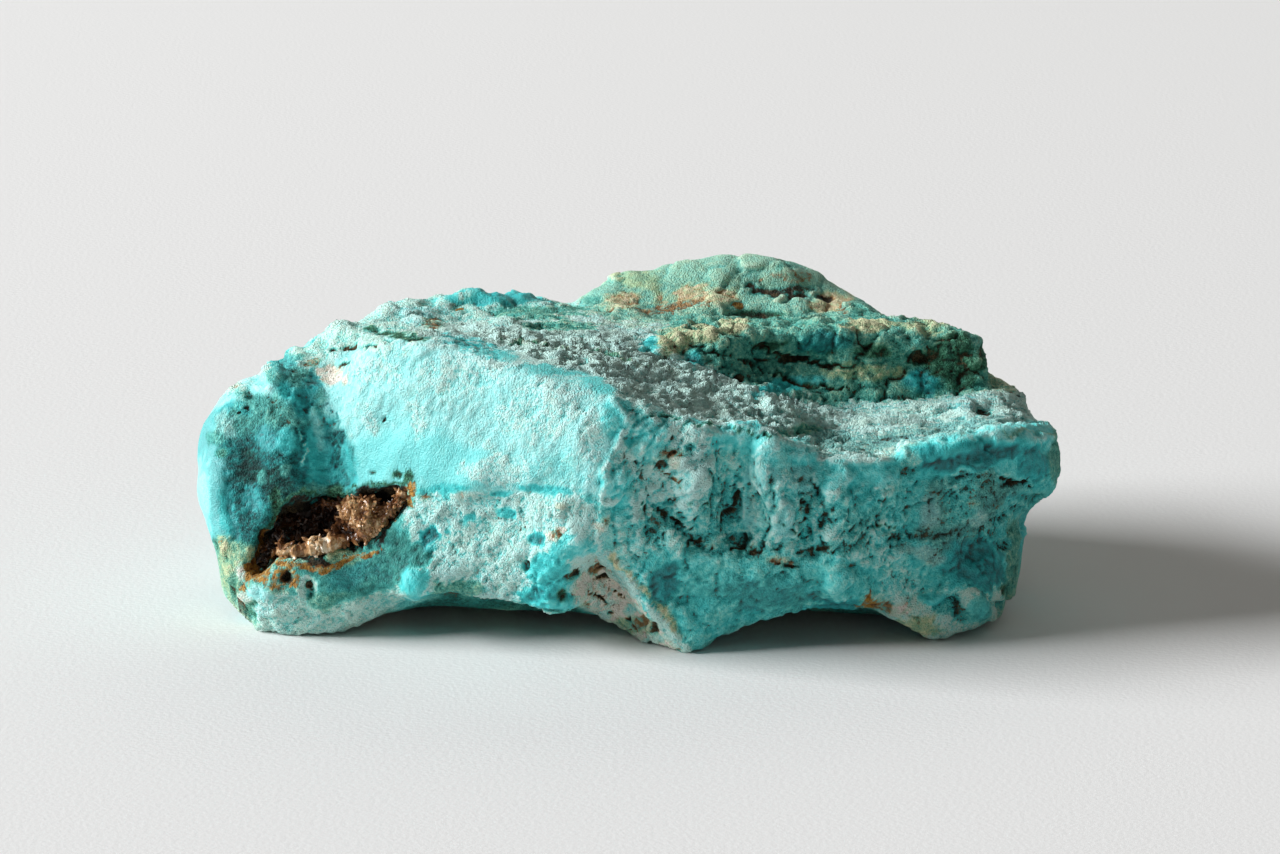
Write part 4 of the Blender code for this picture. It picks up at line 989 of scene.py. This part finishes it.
# %% Find ridges and hollows of the carved skin
RIDGE_ROUNDS = 4
SWELL_ROUNDS = 30
facing_now = normals_of(stone)
fine_mean = melted(moved, edges, RIDGE_ROUNDS)
broad_mean = melted(fine_mean, edges, SWELL_ROUNDS)
ridge = np.sum((moved - fine_mean) * facing_now, axis=1) / MM
swell = np.sum((moved - broad_mean) * facing_now, axis=1) / MM
print("ridge spread", ridge.std().round(4), "swell spread", swell.std().round(4))

# %% Keep the map on the mesh as attributes
RIDGE_UNIT = 0.05
SWELL_UNIT = 0.12


def keep(piece, name, values):
    attribute = piece.data.attributes.new(name, "FLOAT", "POINT")
    attribute.data.foreach_set("value", np.asarray(values, dtype=np.float32))


for number, name in enumerate(SLIDERS):
    keep(stone, name, paint[:, number])
keep(stone, "fleck", np.clip(fleck, -1.5, 1.5))
keep(stone, "crease_darkening", np.clip(crease_darkening, 0, 1.2))
keep(stone, "ridge", np.clip(ridge / RIDGE_UNIT, -2, 2))
keep(stone, "swell", np.clip(swell / SWELL_UNIT, -2, 2))
keep(stone, "fibres", grain_share[:, grain_column("foliated")])
bpy.ops.object.select_all(action="DESELECT")
stone.select_set(True)
bpy.context.view_layer.objects.active = stone
bpy.ops.object.shade_smooth()
triangles = sum(len(face.vertices) - 2 for face in stone.data.polygons)
print("stone triangles:", triangles)

# %% [markdown]
# ## The material of the stone
# Turquoise is a hydrated copper aluminium phosphate: waxy when dense, chalky when weathered. Its
# IOR is about 1.6 and it isn't metallic. The map's sliders steer three colour ramps: clean
# turquoise, greenish altered turquoise and brown mother rock. Noise breaks up every border. The
# finest grit is drawn a little coarser than the real one, which would be too fine to show.

# %% Colours and the one function that adds a node
def linear(hex_colour):
    """An sRGB hex colour as linear red, green, blue and full alpha."""
    parts = [int(hex_colour[i:i + 2], 16) / 255 for i in (1, 3, 5)]
    return [v / 12.92 if v <= 0.04045 else ((v + 0.055) / 1.055) ** 2.4 for v in parts] + [1.0]


def new_material(name):
    made = bpy.data.materials.new(name)
    made.use_nodes = True
    made.node_tree.nodes.clear()
    return made


def node(material, kind, links=None, values=None, stops=None, **settings):
    """Adds a node and gives its first output: settings are its properties, values its sockets,
    links the sockets fed by other nodes, and stops the colours of a ramp."""
    made = material.node_tree.nodes.new("ShaderNode" + kind)
    for key, value in settings.items():
        setattr(made, key, value)
    for socket, value in (values or {}).items():
        made.inputs[socket].default_value = value
    for socket, source in (links or {}).items():
        material.node_tree.links.new(source, made.inputs[socket])
    if stops:
        ramp = made.color_ramp
        ramp.elements.remove(ramp.elements[-1])
        for index, (position, colour) in enumerate(stops):
            stop = ramp.elements[0] if index == 0 else ramp.elements.new(position)
            stop.position = position
            stop.color = linear(colour)
    return next(socket for socket in made.outputs if socket.enabled) if made.outputs else made


# %% Palettes, from the darkest tone to the palest
TURQUOISE_RAMP = [(0.0, "#06363a"), (0.15, "#06595c"), (0.3, "#0a8a8d"), (0.45, "#1caaac"),
                  (0.6, "#3acaca"), (0.75, "#66dddb"), (0.88, "#98eae6"), (1.0, "#c6f6f1")]
MILK = "#c9e6e4"
GREENISH_RAMP = [(0.0, "#10281a"), (0.2, "#265440"), (0.4, "#47876a"), (0.6, "#79b193"),
                 (0.8, "#aecb9d"), (1.0, "#dfe0b6")]
ROCK_RAMP = [(0.0, "#0b0a07"), (0.25, "#382b1d"), (0.5, "#766048"), (0.7, "#a98d6c"),
             (0.88, "#d8cdb4"), (1.0, "#f6f1e6")]
SPECK_RAMP = [(0.36, "#12140c"), (0.52, "#2f2c1c"), (0.66, "#6a5c42")]
RUST_RAMP = [(0.0, "#2c1806"), (0.4, "#7a4a16"), (0.7, "#b98a3c"), (1.0, "#dcc486")]
print("turquoise from", TURQUOISE_RAMP[0][1], "to", TURQUOISE_RAMP[-1][1])

# %% Read the map and make noises of real sizes
turquoise = new_material("waxy_turquoise_with_chalky_skin")
place = node(turquoise, "TexCoord").node.outputs["Object"]
map_of = {
    name: node(turquoise, "Attribute", attribute_name=name).node.outputs["Fac"]
    for name in SLIDERS + ("ridge", "swell", "fleck", "fibres", "crease_darkening")
}
# Each noise: its size in millimetres, and how it is squeezed along x, y and z.
NOISE_SIZES = {"fine": (0.26, (1, 1, 1)), "mid": (0.9, (1, 1, 1)), "streak": (0.5, (0.35, 1.0, 1.6)),
               "speck": (0.17, (1, 1, 1)), "fibre": (0.22, (0.16, 1.0, 1.4))}
noise_of, swing = {}, {}
for name, (size, squeeze) in NOISE_SIZES.items():
    squeezed = node(turquoise, "Mapping", {"Vector": place}, {"Scale": squeeze})
    noise_of[name] = node(turquoise, "TexNoise", {"Vector": squeezed},
                          {"Scale": 1 / (size * MM), "Detail": 4.0, "Roughness": 0.72})
    swing[name] = node(turquoise, "Math", {0: noise_of[name]}, {1: 0.5}, operation="SUBTRACT")
print("noises:", ", ".join(f"{name} {size} mm" for name, (size, _) in NOISE_SIZES.items()))

# %% Add up the sliders with their noises
# Matt skin shows all of its grain and glossy skin little of it. The laid fibres lie on top only.
# Ridge and swell make the turquoise lighter on ridges and darker in hollows: painted light and shade that
# follow the carved relief. Hollows and creases also get more dark specks, and hollows more mother rock.
SUMS = {
    "tone": (("ridge", 0.09), ("swell", 0.05), ("fleck", 0.04), ("matt_grain", 1.0), ("laid_fibre", 2.0)),
    "green": (("mid", 0.5), ("fleck", 0.06)),
    "rock_tone": (("fine", 0.9), ("ridge", 0.12)),
    "rust": (("mid", 0.8),),
    "rock": (("fine", 1.2), ("mid", 0.6), ("ridge", -0.22), ("swell", -0.10)),
    "specks": (("speck", 2.6), ("mid", 0.9), ("ridge", -0.12), ("swell", -0.12), ("crease_darkening", 0.36),
               ("laid_fibre", -1.7)),
}
sources = {**map_of, **swing}
matt = node(turquoise, "MapRange", {"Value": map_of["gloss"]},
            {"From Max": 0.75, "To Min": 1.0, "To Max": 0.15})
grain_sum = node(turquoise, "Math", {0: swing["fine"]}, {1: 0.75}, operation="MULTIPLY")
for name, amount in (("speck", 1.25), ("mid", 0.18), ("streak", 0.20)):
    grain_sum = node(turquoise, "Math", {0: swing[name], 2: grain_sum}, {1: amount},
                     operation="MULTIPLY_ADD")
sources["matt_grain"] = node(turquoise, "Math", {0: grain_sum, 1: matt}, operation="MULTIPLY")
sources["laid_fibre"] = node(turquoise, "Math", {0: swing["fibre"], 1: map_of["fibres"]},
                             operation="MULTIPLY")
summed = {}
for name, parts in SUMS.items():
    total = map_of[name]
    for source, amount in parts:
        total = node(turquoise, "Math", {0: sources[source], 2: total}, {1: amount},
                     operation="MULTIPLY_ADD")
    summed[name] = total

# %% Mix the colours
ROCK_BORDER = (0.42, 0.72)
SPECK_BORDER = (0.74, 0.92)
green_share = node(turquoise, "Clamp", {"Value": summed["green"]})
rust_share = node(turquoise, "Clamp", {"Value": summed["rust"]})
rock_share = node(turquoise, "MapRange", {"Value": summed["rock"]},
                  {"From Min": ROCK_BORDER[0], "From Max": ROCK_BORDER[1]})
clean = node(turquoise, "ValToRGB", {"Fac": summed["tone"]}, stops=TURQUOISE_RAMP)
greenish = node(turquoise, "ValToRGB", {"Fac": summed["tone"]}, stops=GREENISH_RAMP)
mother_rock = node(turquoise, "ValToRGB", {"Fac": summed["rock_tone"]}, stops=ROCK_RAMP)
rusty = node(turquoise, "ValToRGB", {"Fac": summed["rock_tone"]}, stops=RUST_RAMP)
milky = node(turquoise, "Mix", {0: map_of["milk"], 6: clean}, {7: linear(MILK)}, data_type="RGBA")
body_colour = node(turquoise, "Mix", {0: green_share, 6: milky, 7: greenish}, data_type="RGBA")
rock_colour = node(turquoise, "Mix", {0: rust_share, 6: mother_rock, 7: rusty}, data_type="RGBA")
bare_colour = node(turquoise, "Mix", {0: rock_share, 6: body_colour, 7: rock_colour}, data_type="RGBA")
speck_share = node(turquoise, "MapRange", {"Value": summed["specks"]},
                   {"From Min": SPECK_BORDER[0], "From Max": SPECK_BORDER[1], "To Max": 0.9})
speck_colour = node(turquoise, "ValToRGB", {"Fac": noise_of["mid"]}, stops=SPECK_RAMP)
skin_colour = node(turquoise, "Mix", {0: speck_share, 6: bare_colour, 7: speck_colour}, data_type="RGBA")

# %% Finish the stone: gloss, fine bump and the surface shader
FLAKE_SIZE = 0.45
GRIT_SIZE = 0.10
BUMP_DEPTH = 0.13
flakes = node(turquoise, "TexVoronoi", {"Vector": place}, {"Scale": 1 / (FLAKE_SIZE * MM)}, feature="F1")
grit = node(turquoise, "TexNoise", {"Vector": place}, {"Scale": 1 / (GRIT_SIZE * MM), "Detail": 2.0})
relief = node(turquoise, "Math", {0: flakes}, {1: 0.6}, operation="MULTIPLY")
for source, amount in ((grit, 2.2), (sources["laid_fibre"], 1.6), (swing["fine"], 1.2)):
    relief = node(turquoise, "Math", {0: source, 2: relief}, {1: amount}, operation="MULTIPLY_ADD")
bump_strength = node(turquoise, "MapRange", {"Value": map_of["gloss"]}, {"To Min": 1.0, "To Max": 0.25})
bump = node(turquoise, "Bump", {"Height": relief, "Strength": bump_strength},
            {"Distance": BUMP_DEPTH * MM})
rough_part = node(turquoise, "MapRange", {"Value": map_of["gloss"]}, {"To Min": 0.85, "To Max": 0.42})
roughness = node(turquoise, "Math", {0: swing["fine"], 2: rough_part}, {1: 0.25}, operation="MULTIPLY_ADD")
shine = node(turquoise, "MapRange", {"Value": map_of["gloss"]}, {"To Min": 0.12, "To Max": 0.45})
surface = node(turquoise, "BsdfPrincipled",
               {"Base Color": skin_colour, "Roughness": roughness, "Normal": bump,
                "Specular IOR Level": shine},
               {"IOR": 1.6, "Metallic": 0.0, "Specular IOR Level": 0.3})
node(turquoise, "OutputMaterial", {"Surface": surface})
print("nodes in the stone's material:", len(turquoise.node_tree.nodes))

stone.data.materials.clear()
stone.data.materials.append(turquoise)
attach(stone, "root")
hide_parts("turquoise_stone")

# %% [markdown]
# ## The rusty druse
# The pocket is lined with a druse, a crust of tiny crystals stained brown by iron. At this size
# each crystal is a few tenths of a millimetre across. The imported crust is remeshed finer, broken
# into facets, and set with several hundred small six-sided points that catch the light.

# %% Remesh and break up the crust
DRUSE_VOXEL = 0.11 * MM
CRUST_MELT = 3
# Size and height of each layer in mm, and how far the whole crust is filled out.
FACET_SIZE, FACET_HIGH = 0.42, 0.14
GRAIN_SIZE, GRAIN_HIGH = 0.24, 0.08
FOLD_SIZE, FOLD_HIGH = 0.9, 0.10
FILL_OUT = 0.05
druse = working_copy("rusty_druse", "rusty_crystals")
remesh(druse, DRUSE_VOXEL)
crust = melted(points_of(druse), edges_of(druse), CRUST_MELT)
set_points(druse, crust)
crust_facing = normals_of(druse)
crust_mm = crust / MM
coarse, coarse_own, _ = facets(crust_mm / FACET_SIZE, 71)
fine, fine_own, _ = facets(crust_mm / GRAIN_SIZE, 72)
crumple = crusty(crust_mm / FOLD_SIZE, 73)[0]
crust_lift = FACET_HIGH * coarse + GRAIN_HIGH * fine + FOLD_HIGH * crumple + FILL_OUT
print("crust:", len(crust), "points")

# %% Pale and dark places in the pocket, with painted shade in its deep hollows and painted light on its lower lip: paleness, the oval as for the marks, height in mm
DRUSE_PALE_AND_SHADED_MARKS = [
    (-1.0, 304, 521, 34, 21, 12, -0.7), (-1.0, 262, 560, 10, 15, -35, -0.5), (-1.0, 268, 537, 9, 8, 0, -0.4),
    (-0.9, 387, 499, 11, 6, 10, -0.6), (-0.8, 345, 529, 9, 8, 20, -0.5), (-0.5, 372, 490, 14, 5, 0, -0.1),
    (1.1, 318, 552, 28, 13, 14, 0.6), (0.45, 356, 512, 15, 15, 40, 0.35), (0.5, 372, 528, 15, 11, 0, 0.35),
    (0.6, 402, 492, 8, 7, 0, 0.4), (0.8, 290, 556, 13, 11, 0, 0.4), (-0.2, 332, 498, 16, 6, 0, 0.2),
]
WOBBLE_SIZE = 0.7
PLAIN_PALENESS = 0.1
crust_across, crust_down, _ = seen_at(crust)
crust_wobble = soft_noise(crust_mm / WOBBLE_SIZE, 75)
paleness_and_painted_shading = np.full(len(crust), PLAIN_PALENESS)
for pale, *oval, height in DRUSE_PALE_AND_SHADED_MARKS:
    cover = eased(1.35 - oval_distance(crust_across, crust_down, *oval) - 0.35 * crust_wobble, 0.0, 0.6)
    paleness_and_painted_shading += cover * (pale - paleness_and_painted_shading)
    crust_lift += height * cover
crust = crust + crust_facing * np.clip(crust_lift, -0.8, 0.75)[:, None] * MM
set_points(druse, crust)
keep(druse, "fleck", coarse_own * 0.6 + fine_own * 0.5)
keep(druse, "paleness_and_painted_shading", paleness_and_painted_shading)
print("paleness from", paleness_and_painted_shading.min().round(2), "to", paleness_and_painted_shading.max().round(2))

# %% Model one crystal: a six-sided prism with its top drawn in to a point
bpy.ops.object.select_all(action="DESELECT")
bpy.ops.mesh.primitive_cylinder_add(vertices=6, radius=0.5, depth=0.8, end_fill_type="NGON")
crystal = bpy.context.object
bpy.ops.object.mode_set(mode="EDIT")
bpy.ops.mesh.select_all(action="DESELECT")
bpy.ops.object.mode_set(mode="OBJECT")
for face in crystal.data.polygons:
    face.select = face.normal.z > 0.9
bpy.ops.object.mode_set(mode="EDIT")
bpy.ops.mesh.extrude_region_move(TRANSFORM_OT_translate={"value": (0, 0, 0.45)})
bpy.ops.transform.resize(value=(0.12, 0.12, 1.0))
bpy.ops.object.mode_set(mode="OBJECT")
crystal_points = points_of(crystal)
# Extrude lists its new faces in a different order each run, so they are put in order here.
crystal_faces = sorted(tuple(face.vertices) for face in crystal.data.polygons)
bpy.data.objects.remove(crystal)
print("one crystal:", len(crystal_points), "points,", len(crystal_faces), "faces")

# %% Set crystals over the crust, sizes in mm
CRYSTALS = 800
CRYSTAL_WIDE = 0.20
CRYSTAL_LONG = 0.34
CRYSTAL_LEAN = 0.5
SMALLEST, LARGEST = 0.55, 1.25
chance = np.random.default_rng(5)
chosen = chance.choice(len(crust), CRYSTALS, replace=False)
set_faces, set_places, set_fleck, set_paleness_and_shading = [], [], [], []
crust_facing = normals_of(druse)
for index in chosen:
    out = crust_facing[index] + chance.normal(0, CRYSTAL_LEAN, 3)
    out /= np.linalg.norm(out)
    side = np.cross(out, chance.normal(0, 1, 3))
    side /= np.linalg.norm(side)
    size = chance.uniform(SMALLEST, LARGEST)
    axes = np.stack((side * CRYSTAL_WIDE, np.cross(out, side) * CRYSTAL_WIDE, out * CRYSTAL_LONG))
    axes = axes * size * MM
    start = len(set_places) * len(crystal_points)
    set_places.append(crystal_points @ axes + crust[index])
    set_faces.extend(tuple(start + corner for corner in face) for face in crystal_faces)
    set_fleck.append(np.full(len(crystal_points), chance.uniform(-1, 1)))
    # Each crystal takes the crust's paleness, painted shade and light included.
    set_paleness_and_shading.append(np.full(len(crystal_points), paleness_and_painted_shading[index]))
points_mesh = bpy.data.meshes.new("crystal_points")
points_mesh.from_pydata(np.concatenate(set_places).tolist(), [], set_faces)
crystals = bpy.data.objects.new("crystal_points", points_mesh)
bpy.context.scene.collection.objects.link(crystals)
keep(crystals, "fleck", np.concatenate(set_fleck))
keep(crystals, "paleness_and_painted_shading", np.concatenate(set_paleness_and_shading))
bpy.ops.object.select_all(action="DESELECT")
crystals.select_set(True)
druse.select_set(True)
bpy.context.view_layer.objects.active = druse
bpy.ops.object.join()
print("druse triangles:", sum(len(face.vertices) - 2 for face in druse.data.polygons))

# %% Material of the druse
# Quartz stained by iron: dark brown films with tan, glassy faces between them. Its IOR is 1.54.
STAIN_SIZE = 0.8
SPARKLE_SIZE = 0.12
DRUSE_RAMP = [(0.0, "#0c0603"), (0.3, "#3a200e"), (0.55, "#784e2e"), (0.75, "#ae8458"), (0.9, "#dcb88c"),
              (1.0, "#f2e0c6")]
iron_druse = new_material("iron_stained_crystal_druse")
druse_place = node(iron_druse, "TexCoord").node.outputs["Object"]
druse_fleck = node(iron_druse, "Attribute", attribute_name="fleck").node.outputs["Fac"]
stain = node(iron_druse, "TexNoise", {"Vector": druse_place},
             {"Scale": 1 / (STAIN_SIZE * MM), "Detail": 3.0})
sparkle = node(iron_druse, "TexNoise", {"Vector": druse_place},
               {"Scale": 1 / (SPARKLE_SIZE * MM), "Detail": 2.0})
# The druse's paleness holds painted shade in the pocket's deep hollows and painted light on its lower lip.
pocket_paleness_and_shading = node(iron_druse, "Attribute", attribute_name="paleness_and_painted_shading").node.outputs["Fac"]
shade = node(iron_druse, "Math", {0: stain}, {1: 0.8, 2: -0.14}, operation="MULTIPLY_ADD")
for source, amount in ((pocket_paleness_and_shading, 0.42), (sparkle, 0.5), (druse_fleck, 0.16)):
    shade = node(iron_druse, "Math", {0: source, 2: shade}, {1: amount}, operation="MULTIPLY_ADD")
druse_colour = node(iron_druse, "ValToRGB", {"Fac": shade}, stops=DRUSE_RAMP)
druse_bump = node(iron_druse, "Bump", {"Height": sparkle}, {"Strength": 0.6, "Distance": 0.04 * MM})
druse_surface = node(iron_druse, "BsdfPrincipled", {"Base Color": druse_colour, "Normal": druse_bump},
                     {"IOR": 1.54, "Roughness": 0.28})
node(iron_druse, "OutputMaterial", {"Surface": druse_surface})
druse.data.materials.clear()
druse.data.materials.append(iron_druse)
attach(druse, "root")
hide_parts("rusty_druse")
print("nodes in the druse's material:", len(iron_druse.node_tree.nodes))

# %% [markdown]
# ## Table and light
# The stone lies on a pale matt table. A wide window stands low on the left and makes the long
# soft shadow to the right. A dim pale wall behind fills the shadow and glances off the flat top,
# and the pale room in front lifts the side that faces the camera a little.

# %% The table
# Matt board with a slight tooth: it takes soft shadows, and hardly shines.
TABLE_WIDE = 8.0
BOARD_GRAIN = 0.32
bpy.ops.object.select_all(action="DESELECT")
bpy.ops.mesh.primitive_plane_add(size=TABLE_WIDE, location=(0, 0, 0))
table = bpy.context.object
table.name = "pale_table"
paper = new_material("pale_matt_board")
paper_place = node(paper, "TexCoord").node.outputs["Object"]
paper_grain = node(paper, "TexNoise", {"Vector": paper_place},
                   {"Scale": 1 / (BOARD_GRAIN * MM), "Detail": 2.0})
paper_bump = node(paper, "Bump", {"Height": paper_grain}, {"Strength": 0.35, "Distance": 0.05 * MM})
paper_surface = node(paper, "BsdfPrincipled", {"Normal": paper_bump},
                     {"Base Color": linear("#e6e6e6"), "Roughness": 0.9, "Specular IOR Level": 0.2})
node(paper, "OutputMaterial", {"Surface": paper_surface})
table.data.materials.append(paper)
print("table:", TABLE_WIDE, "m wide, grain", BOARD_GRAIN, "mm")

# %% The window, the wall behind and the room in front
WINDOW_AWAY = 2.5
WINDOW_RISE = math.radians(27)
WINDOW_TURN = math.radians(1.5)
window_line = Vector((-math.cos(WINDOW_TURN) * math.cos(WINDOW_RISE),
                      -math.sin(WINDOW_TURN) * math.cos(WINDOW_RISE), math.sin(WINDOW_RISE)))
# Place, width and height in metres, power in watts, and colour.
LIGHTS = {
    "window": (window_line * WINDOW_AWAY, 1.5, 0.75, 115.0, "#fdfeff"),
    "pale_wall_behind": (Vector((0.3, 1.6, 0.9)), 2.4, 1.0, 8.0, "#fff9f0"),
    "pale_room_in_front": (Vector((0.3, -1.7, 0.45)), 1.8, 0.8, 1.6, "#fbf8f2"),
}


def soft_light(name, place, wide, high, power, colour):
    """A rectangular lamp at a place, turned towards the stone."""
    turn = place.to_track_quat("Z", "Y").to_euler()
    bpy.ops.object.light_add(type="AREA", location=place, rotation=turn)
    made = bpy.context.object
    made.name = name
    made.data.shape = "RECTANGLE"
    made.data.size = wide
    made.data.size_y = high
    made.data.energy = power
    made.data.color = linear(colour)[:3]
    print(name, "at", [round(value, 2) for value in place], "m")


for name, light in LIGHTS.items():
    soft_light(name, *light)

# %% The pale sky, darker near the horizon
SKY_LOW = 0.03
SKY_HIGH = 0.15
sky = bpy.data.worlds.new("pale_sky")
bpy.context.scene.world = sky
sky.use_nodes = True
sky.node_tree.nodes.clear()
sky_height = node(sky, "SeparateXYZ", {"Vector": node(sky, "TexCoord")}).node.outputs["Z"]
sky_strength = node(sky, "MapRange", {"Value": sky_height}, {"To Min": SKY_LOW, "To Max": SKY_HIGH})
sky_light = node(sky, "Background", {"Strength": sky_strength}, {"Color": linear("#faf7f0")})
node(sky, "OutputWorld", {"Surface": sky_light})
bpy.context.scene.view_settings.view_transform = "Standard"
print("sky from", SKY_LOW, "to", SKY_HIGH)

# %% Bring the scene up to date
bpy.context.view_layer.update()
